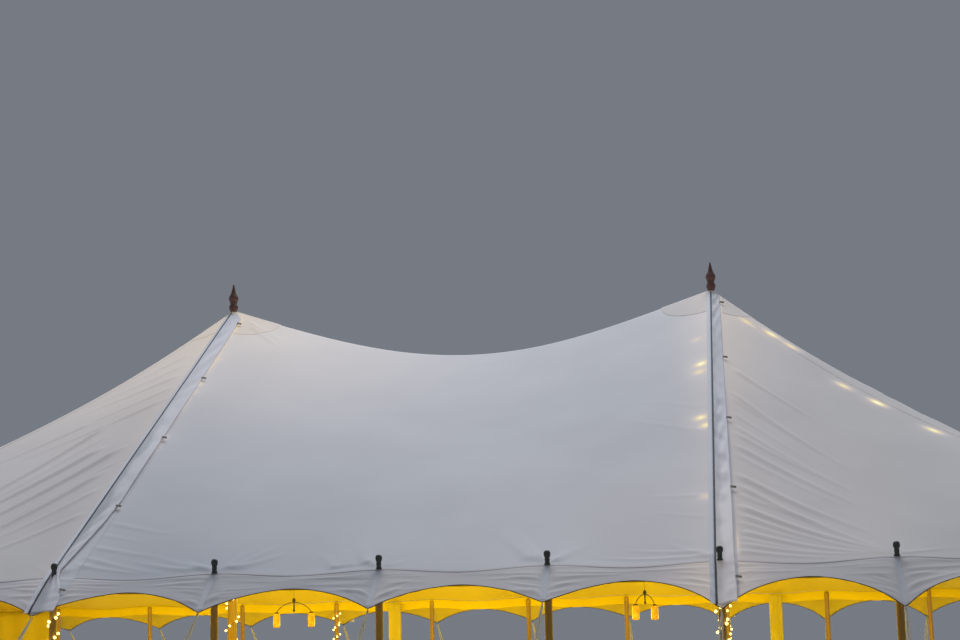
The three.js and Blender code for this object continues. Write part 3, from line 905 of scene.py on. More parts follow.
def tip_creases(side):
    """Creases that run from every point of one side to both sides, and rise to the eave."""
    draw = random.Random(f"creases {side}")
    half = SIDES[side][0]
    creases = []
    for k in range(-round(half / BAY), round(half / BAY) + 1):
        for beside in (-1, 1):
            out = 0.035
            while out < 0.46:
                reach = draw.uniform(0.25, 0.85) * (1.1 - 1.6 * out)
                start = (k * BAY + beside * 0.025, out)
                end = (start[0] + beside * reach, out * draw.uniform(0.45, 0.9))
                creases.append((start, end, draw.uniform(0.4, 1.3)))
                out += draw.uniform(0.026, 0.05)
    return creases


LENGTHS = side_lengths()
CREASES = {side: tip_creases(side) for side in SIDES}
CREASE = 0.01
CREASE_WIDTH = 0.017
BELLY = 0.006


def valance_lift(side, along, out):
    """Height of the creases and of a light belly between the points."""
    edge = edge_out(along)
    total = BELLY * np.sin(np.pi * np.clip(out / edge, 0, 1)) * unevenness(along, out * 2, 0.9, 5)
    for start, end, share in CREASES[side]:
        near = np.abs(along - (start[0] + end[0]) / 2) < abs(end[0] - start[0]) / 2 + 0.05
        if near.any():
            total[near] += fold_line(along[near], out[near], start, end, CREASE * share, CREASE_WIDTH)
    return total * np.clip(out / 0.04, 0, 1)


def valance_glow(x, y, z):
    """The lamps on the seam poles warm the cloth beside them."""
    right = 0.16 * fade(x - HALF_MIDDLE, 0.42)
    left = 0.04 * fade(x + HALF_MIDDLE, 0.4)
    return 0.004 + 0.026 * (x > 0) + (left + right) * (np.abs(y) > HALF_WIDTH)


for label, side, start, stop in LENGTHS:
    def petal_rule(u, v, side=side, start=start, stop=stop):
        along = start + (stop - start) * u
        out = (edge_out(along) - BINDING) * (1 - v)
        return valance_point(side, along, out, valance_lift(side, along, out))

    length = stop - start
    columns, rows = (32, 30) if side == "front" else (18, 14)
    petal = cloth_piece(
        f"valance_{label}", round(length * columns), rows, petal_rule, (length, TIP_REACH), valance_canvas,
        (f"scalloped_valance_{label}",), valance_glow,
    )
    inner_side(petal, lit_canvas)
    along = np.linspace(start, stop, round(length * 26) + 1)
    rim = valance_point(side, along, edge_out(along) - BINDING, valance_lift(side, along, edge_out(along)))
    keep_piece(
        f"scallop_binding_{label}", wrap_tube(np.stack(rim, axis=1), 8, round_section(BINDING, 0.6)),
        tape, (f"guy_ropes_{label}",),
    )
print("valance lengths", len(LENGTHS))

# %% [markdown]
# ## Webbing strips at the points
# A strip of doubled webbing carries the pull from each pole's cap down to the point of
# the scallop, where a steel ring takes the guy rope. Corner points have one strip, on the
# diagonal.

# %% Strips and rings at the points
STRIP_HALF = 0.027
RING_RADIUS = 0.02
RING_WIRE = 0.0035
TIE_OUT = TIP_REACH - 0.006
STRIP_START = 0.03
STRIP_STOP = TIP_REACH - 0.045
STRIP_LIFT = 0.0035
# A pole this near to the end of a length belongs to it
POLE_REACH = 0.005


def pole_places():
    """Where the poles of every length stand. The middle lengths carry those at the seams."""
    found = {}
    for label, side, start, stop in LENGTHS:
        limit = HALF_WIDTH - 0.01 if SIDES[side][0] == HALF_WIDTH else HALF_LENGTH + 0.01
        first, last = math.ceil((start - POLE_REACH) / BAY), math.floor((stop + POLE_REACH) / BAY)
        found[label] = [k * BAY for k in range(first, last + 1) if abs(k * BAY) < limit]
    return found


POLES = pole_places()
POLE_COUNT = sum(len(places) for places in POLES.values())


def one_place(side, along, out, lift=0.0):
    """A single place on the valance, as three plain numbers."""
    return [float(value) for value in valance_point(side, np.array(along), np.array(out), lift)]


def ring_mesh(centre, radius, wire, facing):
    """A steel ring that hangs in the upright plane of facing."""
    turn = np.linspace(0, 2 * math.pi, 17)
    path = [
        (centre[0] + facing[0] * radius * math.cos(t), centre[1] + facing[1] * radius * math.cos(t),
         centre[2] + radius * math.sin(t))
        for t in turn
    ]
    return wrap_tube(path, 6, round_section(wire))


for label, side, start, stop in LENGTHS:
    strips, rings = [], []
    for along in POLES[label]:
        # At a corner the cloth fans out, so the width is set out by half and mirrored
        turned = -0.5 if abs(along) > SIDES[side][0] - 0.02 else 1

        def strip_rule(u, v, side=side, along=along, turned=turned):
            beside = (2 * u - 1) * STRIP_HALF
            out = STRIP_START + (STRIP_STOP - STRIP_START) * v
            lift = valance_lift(side, along + beside, STRIP_START + (TIP_REACH - 0.075) * v)
            return valance_point(side, along + beside * turned, out, lift + STRIP_LIFT)

        strips.append(place_grid(4, 34, strip_rule)[0])
        x, y, z = one_place(side, along, TIE_OUT)
        x0, y0, _ = one_place(side, along, 0.0)
        away = Vector((x - x0, y - y0, 0)).normalized()
        rings.append(ring_mesh((x, y, z - RING_RADIUS * 0.6), RING_RADIUS, RING_WIRE, away))
    strip = join_bmesh(strips)
    bmesh.ops.recalc_face_normals(strip, faces=strip.faces)
    piece = keep_piece(f"tip_strips_{label}", strip, canvas)
    grid = np.array([vertex.co[:] for vertex in piece.data.vertices])
    give_cloth_map(piece, grid[:, 0] + grid[:, 1], grid[:, 2])
    keep_piece(f"tip_rings_{label}", join_bmesh(rings), steel)
print("side poles", POLE_COUNT)

# %% [markdown]
# ## Cover flaps and their toggles
# A flap of heavier, bluish cloth hides each laced seam. It is sewn down along its left
# edge, beside a dark cord, and toggles hold its loose right edge, so the cloth buckles
# between them. It is a long narrow grid whose loose side rises between the toggles. Low
# down the left flap is drawn together into pleats.

# %% Cover flaps
TOGGLES = [0.36, 1.93, 3.43, 4.88, 6.33]
FLAP_START = 0.08
FLAP_FOOT = HALF_WIDTH + TIP_REACH - 0.04
FLAP_WIDTHS = {"left": (0.15, 0.185), "right": (0.1, 0.136)}
FLAP_PINCH = {"left": 0.78, "right": 0.06}
PINCH_AT = [4.75, 5.2, 5.6, 5.9, 6.04, 6.14, 6.3, 6.45]
PINCH_SHARE = [0, 0.22, 0.6, 0.9, 1, 0.85, 0.3, 0]
LOOSE_AT = [0, 2.6, 3.6, 6.2, 6.6]
LOOSE_SHARE = [0.25, 0.35, 1, 1, 0.9]
SEAM_DRIFT = -0.036
CORD_RADIUS = 0.009
UNDERLAP = 0.022
# Heights of the flap's roll beside the trough, its pleats, its wrinkles and its loose edge
PLUMP = 0.016
PLEATS = 0.02
WRINKLE = 0.009
BULGE = 0.01
TOGGLE = [
    (0, -0.03), (0.009, -0.028), (0.013, -0.014), (0.01, 0), (0.013, 0.014), (0.009, 0.028), (0, 0.03),
]


def seam_surface(x, distance, facing, lift):
    """A place over a king seam: on the roof down to the eave, then on the valance."""
    y = facing * distance
    roof = on_roof(x, np.clip(y, -HALF_WIDTH, HALF_WIDTH), 0.0)[2]
    out = np.maximum(distance - HALF_WIDTH, 0)
    side, along = ("front", x) if facing < 0 else ("back", -x)
    along = along + 0 * out
    valance = valance_height(side, along, out) + valance_lift(side, along, out)
    return x, y, np.where(distance < HALF_WIDTH, roof, valance) + lift


def seam_offset(distance):
    """The lacing drifts to the left of the poles on its way down from the apex."""
    return -0.004 + SEAM_DRIFT * np.minimum(distance / HALF_WIDTH, 1)


def flap_edge(label, v):
    """How far the loose edge is from the pole line while nothing draws it in."""
    top, foot = FLAP_WIDTHS[label]
    return np.minimum(top + (foot - top) * v, 0.8 * (FLAP_START + (FLAP_FOOT - FLAP_START) * v))


def hollow_share(distance, u, end):
    """How deep in the trough beside the cord a place of the flap is. Its brink wanders."""
    brink = 0.34 + 0.1 * np.sin(distance * 4.3 + end) + 0.07 * np.sin(distance * 10.7)
    return 1 / (1 + np.exp((u - brink) / 0.055))


def flap_rule(label, facing):
    end = -1 if label == "left" else 1

    def rule(u, v):
        distance = FLAP_START + (FLAP_FOOT - FLAP_START) * v
        drawn = FLAP_PINCH[label] * np.interp(distance, PINCH_AT, PINCH_SHARE)
        sewn = seam_offset(distance) + 0.004
        offset = sewn + (flap_edge(label, v) * (1 - drawn) - sewn) * u
        loose = np.interp(distance, LOOSE_AT, LOOSE_SHARE)
        plump = PLUMP * loose * (1 - hollow_share(distance, u, end))
        pleats = PLEATS * drawn * np.sin(3 * np.pi * u) ** 2
        patch = np.clip(0.3 + np.sin(distance * 1.7 + end), 0, 1)
        ripple = np.sin(distance * 16 + 7 * u + 2.2 * np.sin(distance * 2.3))
        wrinkle = WRINKLE * patch * ripple * np.sin(np.pi * u)
        bulge = BULGE * (1 - drawn) * u**2 * np.abs(np.sin(np.pi * (distance - TOGGLES[0]) / 1.5))
        return seam_surface(
            end * HALF_MIDDLE + offset, distance, facing,
            np.maximum(0.008 + plump + pleats + wrinkle + bulge, 0.006),
        )

    return rule


def flap_glow(x, y, z):
    """The flap is heavy, so only a little light gets through, and more towards the foot."""
    low = 0.07 * (x > 0) * np.interp(np.abs(y), [3.8, 5.0, 6.6], [0.0, 0.8, 1.2])
    return 0.045 + low


def underlap_glow(x, y, z):
    """The lamp light painted on the cloth under the flap is as strong as on the roof beside it, but weaker
    near the foot.
    """
    return roof_glow(x, y, z) * np.interp(np.abs(y), [2.5, 4.2], [1.0, 0.15])


# Painted shade on the flaps: greyer in the trough beside the cord, high on the right flap and low on the
# left, with random grey mottling.
def painted_shade_and_mottling_rule(end):
    def rule(u, v, x, y, z):
        distance = FLAP_START + (FLAP_FOOT - FLAP_START) * v
        deep = hollow_share(distance, u, end) * np.interp(distance, LOOSE_AT, LOOSE_SHARE)
        grey_mottling = np.clip(unevenness(distance, u * 0.3, 0.4, 9), 0, 1)
        if end < 0:
            shaded = 0.2 * np.interp(distance, [3.5, 4.5], [0.0, 1.0]) + 0.14 * grey_mottling
        else:
            shaded = 0.27 * np.interp(distance, [2.2, 3.2], [1.0, 0.0]) + 0.34 * grey_mottling
        return 0.04 + 0.55 * deep + shaded

    return rule


for label, end in ENDS.items():
    for name, facing in (("front", -1), ("back", 1)):
        rule = flap_rule(label, facing)
        flap = cloth_piece(
            f"cover_flap_{label}_{name}", 14, 290, rule, (0.16, 7.6), lightened_flap_canvas,
            (f"seam_flap_{label}_{name}",), flap_glow, flip=facing < 0, painted_shade_and_mottling_rule=painted_shade_and_mottling_rule(end),
        )
        flap.modifiers.new("cloth_thickness", "SOLIDIFY").thickness = 0.002
        distance = np.linspace(FLAP_START, FLAP_FOOT, 180)
        line = seam_surface(end * HALF_MIDDLE + seam_offset(distance), distance, facing, 0.008)
        cord = wrap_tube(np.stack(line, axis=1), 8, round_section(CORD_RADIUS, 0.8))
        keep_piece(f"seam_cord_{label}_{name}", cord, seam_cord)

        def listing_rule(u, v, end=end, facing=facing):
            distance = FLAP_START + (FLAP_FOOT - FLAP_START) * v
            x = end * HALF_MIDDLE + seam_offset(distance) - 0.009 - np.minimum(0.045, 0.5 * distance) * u
            return seam_surface(x, distance, facing, 0.005 + 0.007 * np.sin(np.pi * u) ** 0.5)

        listing = cloth_piece(
            f"seam_listing_{label}_{name}", 6, 220, listing_rule, (0.045, 7.6), lightened_flap_canvas,
            flip=facing > 0,
        )

        def underlap_rule(u, v, label=label, end=end, facing=facing):
            distance = FLAP_START + (FLAP_FOOT - FLAP_START) * v
            x = end * HALF_MIDDLE + (flap_edge(label, v) + UNDERLAP) * u
            distance = np.minimum(distance, HALF_WIDTH + edge_out(x) - 0.012)
            return seam_surface(x, distance, facing, 0.0035)

        underlap = cloth_piece(
            f"seam_underlap_{label}_{name}", 8, 260, underlap_rule, (0.18, 7.6), canvas, (),
            underlap_glow, flip=facing < 0,
        )

        toggles = []
        for distance in TOGGLES:
            bm = bmesh.new()
            turn_profile(bm, TOGGLE, (0, 0), 10)
            close_turned(bm)
            share = (distance - FLAP_START) / (FLAP_FOOT - FLAP_START)
            x, y, z = (float(value[0]) for value in np.atleast_1d(*rule(np.ones(1), np.full(1, share))))
            bmesh.ops.rotate(bm, verts=bm.verts, matrix=Matrix.Rotation(math.radians(100), 3, "Y"))
            bmesh.ops.translate(bm, verts=bm.verts, vec=(x + 0.022, y, z + 0.012))
            toggles.append(bm)
        keep_piece(f"flap_toggles_{label}_{name}", join_bmesh(toggles), toggle_wood)
print("flaps", 4, "toggles", 4 * len(TOGGLES))

# %% [markdown]
# ## Side poles and caps
# A side pole is a round varnished pole with a steel pin in its head. The pin goes through
# an eyelet in the eave, and a turned cap is pushed on it from above to hold the cloth.
# Both are turned profiles, spun once for every pole. Inside hangs the rail that carries
# the walls, and a facing and a lining lie under the roof, all yellow with lamp light.

# %% Side poles, caps and the wall rail
POLE = [
    (0, 0), (0.031, 0), (0.035, 0.006), (0.035, 2.18), (0.0365, 2.181), (0.0365, 2.235),
    (0.034, 2.243), (0.034, 2.254), (0.022, 2.27), (0.0, 2.272),
]
CAP = [
    (0, 0.001), (0.026, 0.001), (0.0275, 0.005), (0.026, 0.012), (0.0225, 0.018), (0.021, 0.030),
    (0.0225, 0.042), (0.0248, 0.047), (0.0225, 0.053), (0.0208, 0.060), (0.024, 0.070),
    (0.0288, 0.081), (0.031, 0.095), (0.0302, 0.108), (0.0262, 0.119), (0.018, 0.1265),
    (0.009, 0.1297), (0, 0.13),
]
POLE_STEPS = 20
CAP_STEPS = 18
RAIL_DEEP = 0.13
RAIL_IN = 0.008
# The facing and the lining lie under the roof, this far in from the eave
FACING_IN = 0.05
FACING = 0.08
LINING = 0.9


def under_roof(side, start, stop, first, deep, drop):
    """A rule for a strip under the roof: how far in it starts, how deep and how low it is."""
    half, place = SIDES[side]

    def rule(u, v):
        inset = first + deep * v
        x, y = place(np.clip(start + (stop - start) * u, inset - half, half - inset), -inset)
        return x, y, roof_height(x, y) - drop

    return rule


for label, side, start, stop in LENGTHS:
    poles, caps = bmesh.new(), bmesh.new()
    for along in POLES[label]:
        x, y = SIDES[side][1](along, 0.0)
        turn_profile(poles, POLE, (x, y), POLE_STEPS)
        turn_profile(caps, [(r, EAVE + z) for r, z in CAP], (x, y), CAP_STEPS)
    close_turned(poles)
    close_turned(caps)
    keep_piece(f"side_pole_row_{label}", poles, pole_wood, (f"side_poles_{label}",))
    keep_piece(f"pole_caps_{label}", caps, cap_paint)

    def rail_rule(u, v, side=side, start=start, stop=stop):
        half, place = SIDES[side]
        along = np.clip(start + (stop - start) * u, RAIL_IN - half, half - RAIL_IN)
        x, y = place(along, -RAIL_IN + 0.006 * np.sin(along * 23) * v)
        return x, y, EAVE - 0.006 - hang(along) - RAIL_DEEP * v

    length = stop - start
    rail = cloth_piece(
        f"wall_rail_{label}", round(length * 16), 6, rail_rule, (length, RAIL_DEEP), lit_canvas,
        flip=True,
    )
    facing = cloth_piece(
        f"eave_facing_{label}", round(length * 16), 5,
        under_roof(side, start, stop, FACING_IN, FACING, 0.022), (length, 0.1), lit_canvas,
    )
    lining_rule = under_roof(side, start, stop, FACING_IN + FACING, LINING - FACING, 0.03)
    lining = cloth_piece(
        f"eave_lining_{label}", round(length * 10), 8, lining_rule, (length, 0.95), lit_canvas,
    )
    u = np.linspace(0, 1, round(length * 10) + 1)
    cord = np.stack(rail_rule(u, np.full_like(u, 0.04)), axis=1)
    keep_piece(f"rail_cord_{label}", wrap_tube(cord, 6, round_section(0.005)), lit_canvas)
print("caps", POLE_COUNT)

# %% [markdown]
# ## King poles and finials
# The two king poles are thick round poles with a pin in the head, which comes up through
# the roof. A turned finial sits on the pin: a round foot, a waist, a pear-shaped body and
# a long point.

# %% King poles and finials
KING_HEAD = 5.832
FINIAL_SEAT = 5.861
KING = [
    (0, 0), (0.054, 0), (0.058, 0.006), (0.058, 0.16), (0.06, 0.162), (0.06, KING_HEAD - 0.2),
    (0.058, KING_HEAD - 0.07), (0.05, KING_HEAD - 0.035), (0.038, KING_HEAD - 0.02),
    (0.012, KING_HEAD - 0.02), (0.012, FINIAL_SEAT + 0.055), (0, FINIAL_SEAT + 0.06),
]
FINIAL = [
    (0.0125, -0.003), (0.030, -0.006), (0.037, -0.003), (0.040, 0.004), (0.047, 0.016),
    (0.055, 0.036), (0.0575, 0.058), (0.054, 0.078), (0.044, 0.093), (0.040, 0.098), (0.041, 0.104),
    (0.047, 0.110), (0.049, 0.116), (0.046, 0.122), (0.0455, 0.127), (0.053, 0.139),
    (0.0605, 0.158), (0.0615, 0.174), (0.058, 0.192), (0.049, 0.212), (0.039, 0.230),
    (0.031, 0.250), (0.025, 0.272), (0.0195, 0.297), (0.014, 0.322), (0.009, 0.345),
    (0.0045, 0.360), (0, 0.365),
]
for label, end in ENDS.items():
    bm = bmesh.new()
    turn_profile(bm, KING, (end * HALF_MIDDLE, 0), 32)
    close_turned(bm)
    keep_piece(f"king_pole_turned_{label}", bm, pole_wood, (f"king_pole_{label}",))
    bm = bmesh.new()
    turn_profile(bm, [(r, FINIAL_SEAT + z) for r, z in FINIAL], (end * HALF_MIDDLE, 0), 40)
    close_turned(bm)
    keep_piece(f"finial_turned_{label}", bm, finial_wood, (f"finial_{label}",))
print("finial height", FINIAL[-1][1])

# %% [markdown]
# ## Guy ropes and stakes
# A guy rope is laid from three strands, which gives it a slow twist, so its section is a
# trefoil that turns along the path. It runs doubled and taut from the ring to the stake, and
# a wooden runner holds its two parts together. The twist is drawn longer than the real
# 40 mm. Each stake is a round steel bar with a mushroom head, driven in leaning away from
# the tent.

# %% Guy ropes, runners and stakes
ROPE_RADIUS = 0.0095
TWIST = 0.12
STEPS_PER_TWIST = 4
GUY_SLOPE = 0.8
GUY_TIE = 0.09
STAKE_STEEPNESS = 3.3
# The stake leans, so its middle stands this high for its rim to clear the ground
STAKE_LIFT = 0.004
STAKE = [
    (0, 0), (0.012, 0), (0.012, 0.13), (0.013, 0.133), (0.0155, 0.137), (0.016, 0.143),
    (0.013, 0.149), (0, 0.151),
]
LOOP_RADIUS = 0.017
LOOP_ROPE = 0.0055
RUNNER_AT = 0.62
STRAND_GAP = 0.025
GAP_FROM = 0.3


def laid_rope(points):
    """A laid rope pulled straight from point to point."""
    points = np.array(points)
    at = np.concatenate([[0], np.cumsum(np.linalg.norm(np.diff(points, axis=0), axis=1))])
    rows = max(6, round(at[-1] / TWIST * STEPS_PER_TWIST))
    marks = np.linspace(0, at[-1], rows + 1)
    path = np.stack([np.interp(marks, at, column) for column in points.T], axis=1)

    def trefoil(turn, row):
        radius = ROPE_RADIUS * (0.86 + 0.2 * math.cos(3 * (turn - row * 2 * math.pi / STEPS_PER_TWIST / 3)))
        return radius * math.cos(turn), radius * math.sin(turn)

    return wrap_tube(path, 6, trefoil)


def runner_block(centre, direction):
    """A wooden runner with rounded ends, set across the doubled rope."""
    bm = bmesh.new()
    bmesh.ops.create_cube(bm, size=1)
    bmesh.ops.scale(bm, vec=(0.046, 0.024, 0.09), verts=bm.verts)
    bmesh.ops.bevel(
        bm, geom=list(bm.edges), offset=0.005, affect="EDGES", segments=2, profile=0.5, material=-1,
    )
    turn = Vector((0, 0, 1)).rotation_difference(Vector(direction)).to_matrix()
    bmesh.ops.rotate(bm, verts=bm.verts, matrix=turn)
    bmesh.ops.translate(bm, verts=bm.verts, vec=centre)
    return bm


for label, side, start, stop in LENGTHS:
    ropes, runners, stakes = [], [], []
    half, place = SIDES[side]
    for along in POLES[label]:
        # Near a corner the rope turns towards the diagonal
        spread = math.copysign(max(0, 1 - (half - abs(along)) / BAY), along)
        x, y, z = one_place(side, along, TIE_OUT, -0.004)
        out = TIE_OUT + (z - GUY_TIE) / GUY_SLOPE / math.hypot(1, spread)
        tip = Vector((x, y, z - 0.012))
        tie = Vector((*place(along + spread * out, out), GUY_TIE))
        direction = (tip - tie).normalized()
        beside = direction.cross(Vector((0, 0, 1))).normalized() * STRAND_GAP
        ropes.append(laid_rope([tip, tie]))
        ropes.append(laid_rope([tip, tip - direction * GAP_FROM - beside, tie - beside * 0.6]))
        runners.append(runner_block(tie + direction * RUNNER_AT - beside * 0.35, direction))
        outward = Vector((tie.x - tip.x, tie.y - tip.y, 0)).normalized()
        lean = (outward + Vector((0, 0, STAKE_STEEPNESS))).normalized()
        bm = bmesh.new()
        turn_profile(bm, STAKE, (0, 0), 14)
        close_turned(bm)
        bmesh.ops.rotate(bm, verts=bm.verts, matrix=Vector((0, 0, 1)).rotation_difference(lean).to_matrix())
        foot = tie - lean * (GUY_TIE / lean.z) + Vector((0, 0, STAKE_LIFT))
        bmesh.ops.translate(bm, verts=bm.verts, vec=foot)
        stakes.append(bm)
        across = lean.orthogonal().normalized() * LOOP_RADIUS
        over = lean.cross(across)
        for turn in range(2):
            centre = tie + lean * (0.012 * turn)
            loop = np.linspace(0, 2 * math.pi, 15)
            path = [centre + across * math.cos(t) + over * math.sin(t) for t in loop]
            ropes.append(wrap_tube(path, 6, round_section(LOOP_ROPE)))
    keep_piece(f"guy_rope_set_{label}", join_bmesh(ropes), rope, (f"guy_ropes_{label}",))
    keep_piece(f"rope_runners_{label}", join_bmesh(runners), pole_wood)
    keep_piece(f"stakes_{label}", join_bmesh(stakes), steel)
print("guy ropes", POLE_COUNT)

# %% [markdown]
# ## Walls
# The left end is closed by a canvas wall that hangs in upright folds from the rail inside
# the eave, and it turns the corner at the back. Two more walls at the back are drawn
# together and tied into bunches. The folds are waves across the wall that grow and shift
# a little towards the foot. The side of a wall that the lamps reach is drawn warm yellow,
# as painted lamp light, and the bunched walls are drawn in it all over.

# %% Walls and bunched walls
WALL_FOOT = 0.01
WALL_TOP = EAVE - 0.06
WALL_OUT = -0.0585
WALL_HANG = 2.22
FULLNESS = 1.08
FOLDS_PER_METRE = 2.65
FOLD_DEEP = 0.018


def wall_rule(side, start, stop, seed):
    def rule(u, v):
        along = start + (stop - start) * u
        height = WALL_TOP + (WALL_FOOT - WALL_TOP) * v
        shift = 0.05 * np.sin(along * 1.7 + seed) * v
        wave = np.sin(2 * np.pi * FOLDS_PER_METRE * (along + shift) + 0.8 * np.sin(along * 2.3 + seed))
        swing = 0.6 + 0.4 * v + 0.15 * np.sin(along * 3.1 + 4 * v)
        x, y = SIDES[side][1](along, WALL_OUT + FOLD_DEEP * wave * swing)
        return x, y, height

    return rule


walls = [
    ("left_wall", "left", -5.99, 5.99, "wall_left_side", 1.0),
    ("back_wall", "back", HALF_LENGTH - BAY, HALF_LENGTH - 0.11, "wall_back_left", 2.0),
]
for name, side, start, stop, node, seed in walls:
    flat = ((stop - start) * FULLNESS, WALL_HANG)
    wall = cloth_piece(
        name, round((stop - start) * 22), 22, wall_rule(side, start, stop, seed), flat, end_canvas,
        (node,), flip=True,
    )
    inner_side(wall, wall_canvas)
    rail = "wall_rail_left_side" if side == "left" else "wall_rail_back_right"

BUNCHES = [("left", 2.1), ("right", -3.8)]
TIE_HEIGHT = 1.15
BUNCH_FOLDS = 9
for label, centre in BUNCHES:
    def bunch_rule(u, v, centre=centre):
        height = WALL_TOP + (WALL_FOOT - WALL_TOP) * v
        waist = 1 - 0.42 * fade(height - TIE_HEIGHT, 0.22)
        turn = 2 * np.pi * BUNCH_FOLDS * u + 0.5 * np.sin(7 * u + 2 * v)
        along = centre + waist * ((2 * u - 1) * 0.09 + 0.012 * np.sin(2 * turn))
        out = -0.0815 + 0.039 * waist * np.sin(turn) * (0.9 + 0.1 * np.sin(5 * u + 3 * v))
        x, y = SIDES["back"][1](along, out)
        return x, y, height

    bunch = cloth_piece(
        f"bunched_wall_{label}", 170, 36, bunch_rule, (BAY, WALL_HANG), wall_canvas,
        (f"wall_bunch_back_{label}",), flip=True,
    )
    turn = np.linspace(0, 2 * math.pi, 33)
    x, y = SIDES["back"][1](centre + 0.064 * np.cos(turn), -0.081 + 0.0265 * np.sin(turn))
    tie_path = np.stack([x, y, np.full_like(x, TIE_HEIGHT)], axis=1)
    tie = wrap_tube(tie_path, 8, lambda turn, row: (0.003 * math.cos(turn), 0.02 * math.sin(turn)))
    keep_piece(f"bunch_tie_{label}", tie, canvas)
print("walls", len(walls), "bunches", len(BUNCHES))

# %% [markdown]
# ## Strings of lamps
# Small warm lamps are wound round the king poles and round the side poles at the seams,
# and more of them hang under the right hips and the seams. A wire carries them. Hundreds of
# lamps are shown, so each one is a ball of only 20 faces.

# %% Lamp strings
LAMP_RADIUS = 0.016
WIRE_RADIUS = 0.003
# How the wire is wound: radius, lowest and highest place, turns and points of its path
KING_WINDING = (0.07, 0.5, 5.5, 17, 272)
SEAM_WINDING = (0.044, 0.6, 2.1, 9, 126)
LAMP_EVERY = 3


def lamp_string(path, every, drop):
    """The wire along a path, and lamps at every so many points of it."""
    wire = wrap_tube(path, 5, round_section(WIRE_RADIUS))
    lamps = []
    for point in path[::every]:
        bm = bmesh.new()
        bmesh.ops.create_icosphere(bm, subdivisions=1, radius=LAMP_RADIUS)
        bmesh.ops.translate(bm, verts=bm.verts, vec=(point[0], point[1], point[2] - drop))
        lamps.append(bm)
    return wire, join_bmesh(lamps)


def wound_path(centre, radius, low, high, turns, points, seed):
    draw = random.Random(seed)
    path = []
    for k in range(points + 1):
        share = k / points
        turn = 2 * math.pi * turns * share + 0.35 * math.sin(share * 9 + seed)
        out = radius + draw.uniform(0.0, 0.012)
        x, y = centre[0] + out * math.cos(turn), centre[1] + out * math.sin(turn)
        path.append((x, y, low + (high - low) * share))
    return path


strings = []
for end in (-1, 1):
    path = wound_path((end * HALF_MIDDLE, 0), *KING_WINDING, 1 + end)
    strings.append(lamp_string(path, LAMP_EVERY, 0))
    for depth in (-1, 1):
        path = wound_path((end * HALF_MIDDLE, depth * HALF_WIDTH), *SEAM_WINDING, 3 * end + depth)
        strings.append(lamp_string(path, LAMP_EVERY, 0))
    for depth in (-1, 1):
        for way, places in ((1, HIP_LAMPS), (-1, SEAM_LAMPS))[end < 0 :]:
            over, aside, _ = np.array(places).T
            x, y = end * (HALF_MIDDLE + way * over), depth * aside
            path = np.stack([x, y, roof_height(x, y) - LAMP_DROP], axis=1)
            strings.append(lamp_string(path, 1, 0.01))
wires, lamps = zip(*strings)
keep_piece("lamp_wires", join_bmesh(wires), flex_cover)
keep_piece("lamp_glasses", join_bmesh(lamps), lamp_glass)

# %% [markdown]
# ## Hanging lanterns
# A lantern hangs under the ridge at each end of the middle section. It is a dark iron
# stem with a knob, two arms that curve out and down, and an amber glass jar under each arm.

# %% Hanging lanterns
LANTERNS = [("left", -2.26, 0.0), ("right", 2.095, 1.07)]
LANTERN_TOP = 2.208
LANTERN_HALF = 0.22
STEM = [
    (0, 0), (0.01, 0.004), (0.016, 0.02), (0.01, 0.036), (0.009, 0.05), (0.009, 0.11), (0.018, 0.122),
    (0.024, 0.14), (0.018, 0.158), (0.009, 0.17), (0, 0.174),
]
JAR = [
    (0, -0.19), (0.036, -0.188), (0.042, -0.18), (0.044, -0.168), (0.044, -0.045), (0.038, -0.025),
    (0.028, -0.015), (0, -0.014),
]
JAR_CAP = [(0, -0.016), (0.03, -0.016), (0.03, -0.008), (0.012, 0.002), (0, 0.004)]
lantern_glass = make_mottled("amber_lantern_glass", "#f0c04a", "#d69a26", 0.25, size=0.05)
black_iron = make_mottled("black_iron", "#2a221c", "#1c1713", 0.55)

for label, x, turned in LANTERNS:
    centre = Vector((x, 0, LANTERN_TOP - STEM[-1][1]))
    iron, glass = [], bmesh.new()
    bm = bmesh.new()
    turn_profile(bm, [(r, centre.z + z) for r, z in STEM], (x, 0), 12)
    away = Vector((math.cos(turned), math.sin(turned), 0))
    for way in (-1, 1):
        tip = centre + away * way * LANTERN_HALF
        turn_profile(glass, [(r, centre.z + z) for r, z in JAR], (tip.x, tip.y), 14)
        turn_profile(bm, [(r, centre.z + z) for r, z in JAR_CAP], (tip.x, tip.y), 12)
        path = []
        for share in np.linspace(0, 1, 13):
            rise = 0.12 * (1 - share) ** 0.7 + 0.02 * math.sin(math.pi * share)
            path.append(centre + away * way * LANTERN_HALF * share + Vector((0, 0, rise)))
        iron.append(wrap_tube(path, 6, round_section(0.005)))
    close_turned(bm)
    close_turned(glass)
    iron.append(bm)
    height = float(roof_height(np.array([x]), np.zeros(1))[0])
    iron.append(wrap_tube([(x, 0, LANTERN_TOP - 0.01), (x, 0, height - 0.02)], 6, round_section(0.002)))
    keep_piece(f"hanging_lantern_{label}", join_bmesh(iron), black_iron)
    keep_piece(f"lantern_glass_{label}", glass, lantern_glass)
print("hanging lanterns", len(LANTERNS))

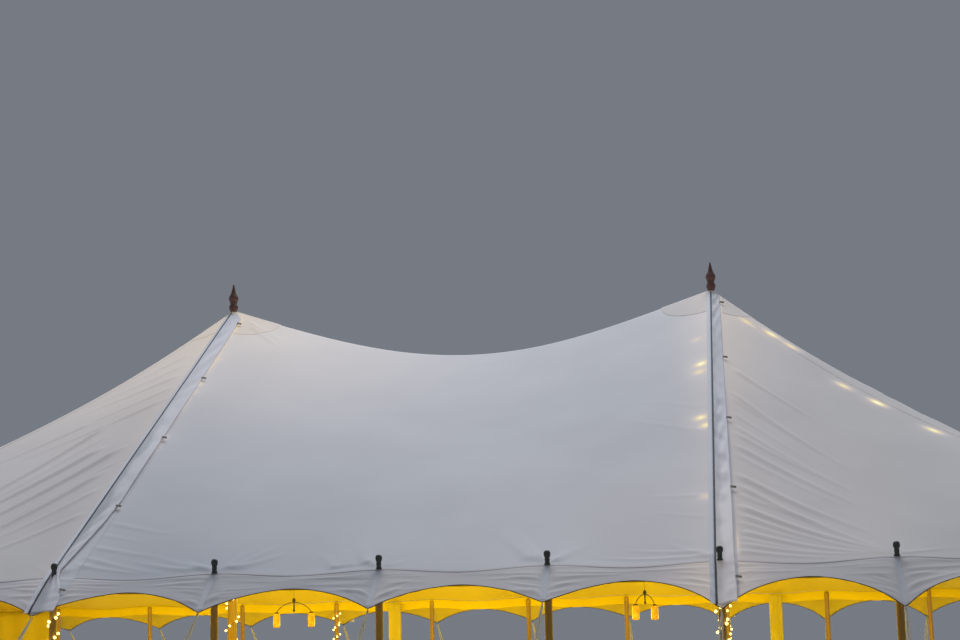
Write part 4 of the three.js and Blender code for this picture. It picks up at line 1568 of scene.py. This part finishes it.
# %% [markdown]
# ## Floor and light
# The floor is plain and pale. The sky light is one large soft panel, high up and behind the
# tent, so every fold in the roof has a lighter upper side and a darker lower one. Warm lamps
# inside, a little stronger on the left, light the underside of the roof as in the photograph.

# %% Studio
floor_bm = bmesh.new()
bmesh.ops.create_grid(floor_bm, x_segments=2, y_segments=2, size=70)
floor_mesh = bpy.data.meshes.new("pale_floor")
floor_bm.to_mesh(floor_mesh)
floor_bm.free()
floor_mesh.materials.append(make_mottled("pale_floor", "#b9b8b4", "#b4b3af", 0.9, size=0.4))
floor = bpy.data.objects.new("pale_floor", floor_mesh)
scene.collection.objects.link(floor)

LAMP_COLOUR = (1.0, 0.76, 0.03)
LAMP_POWERS = {"left": 108, "right": 94}
SKY_COLOUR = (0.96, 0.975, 1.0)
SKY_POWER = 10000
SKY_AIM = (0, -2.5, 4)

world = bpy.data.worlds.new("plain_backdrop")
world.use_nodes = True
backdrop = world.node_tree.nodes["Background"]
backdrop.inputs["Color"].default_value = tint("#767b83")
backdrop.inputs["Strength"].default_value = 1.0
scene.world = world


def inside_lamp(name, place, energy, size):
    light = bpy.data.lights.new(name, "POINT")
    light.energy = energy
    light.shadow_soft_size = size
    light.color = LAMP_COLOUR
    lamp = bpy.data.objects.new(name, light)
    lamp.location = place
    scene.collection.objects.link(lamp)


high_sky = bpy.data.lights.new("high_sky", "AREA")
high_sky.shape = "RECTANGLE"
high_sky.size = 26
high_sky.size_y = 18
high_sky.energy = SKY_POWER
high_sky.color = SKY_COLOUR
sky_panel = bpy.data.objects.new("high_sky", high_sky)
sky_panel.location = (-1.0, 16.0, 36.0)
away = Vector(sky_panel.location) - Vector(SKY_AIM)
sky_panel.rotation_euler = away.to_track_quat("Z", "Y").to_euler()
scene.collection.objects.link(sky_panel)
for k, x in enumerate((-6.4, -3.6, -1.2, 1.2, 3.6, 6.4)):
    for j, y in enumerate((-2.8, 2.8)):
        power = LAMP_POWERS["left" if x < 0 else "right"]
        inside_lamp(f"inside_lamp_{k}_{j}", (x, y, 1.9), power, 0.4)
scene.view_settings.view_transform = "Standard"
print("lights", len(bpy.data.lights))
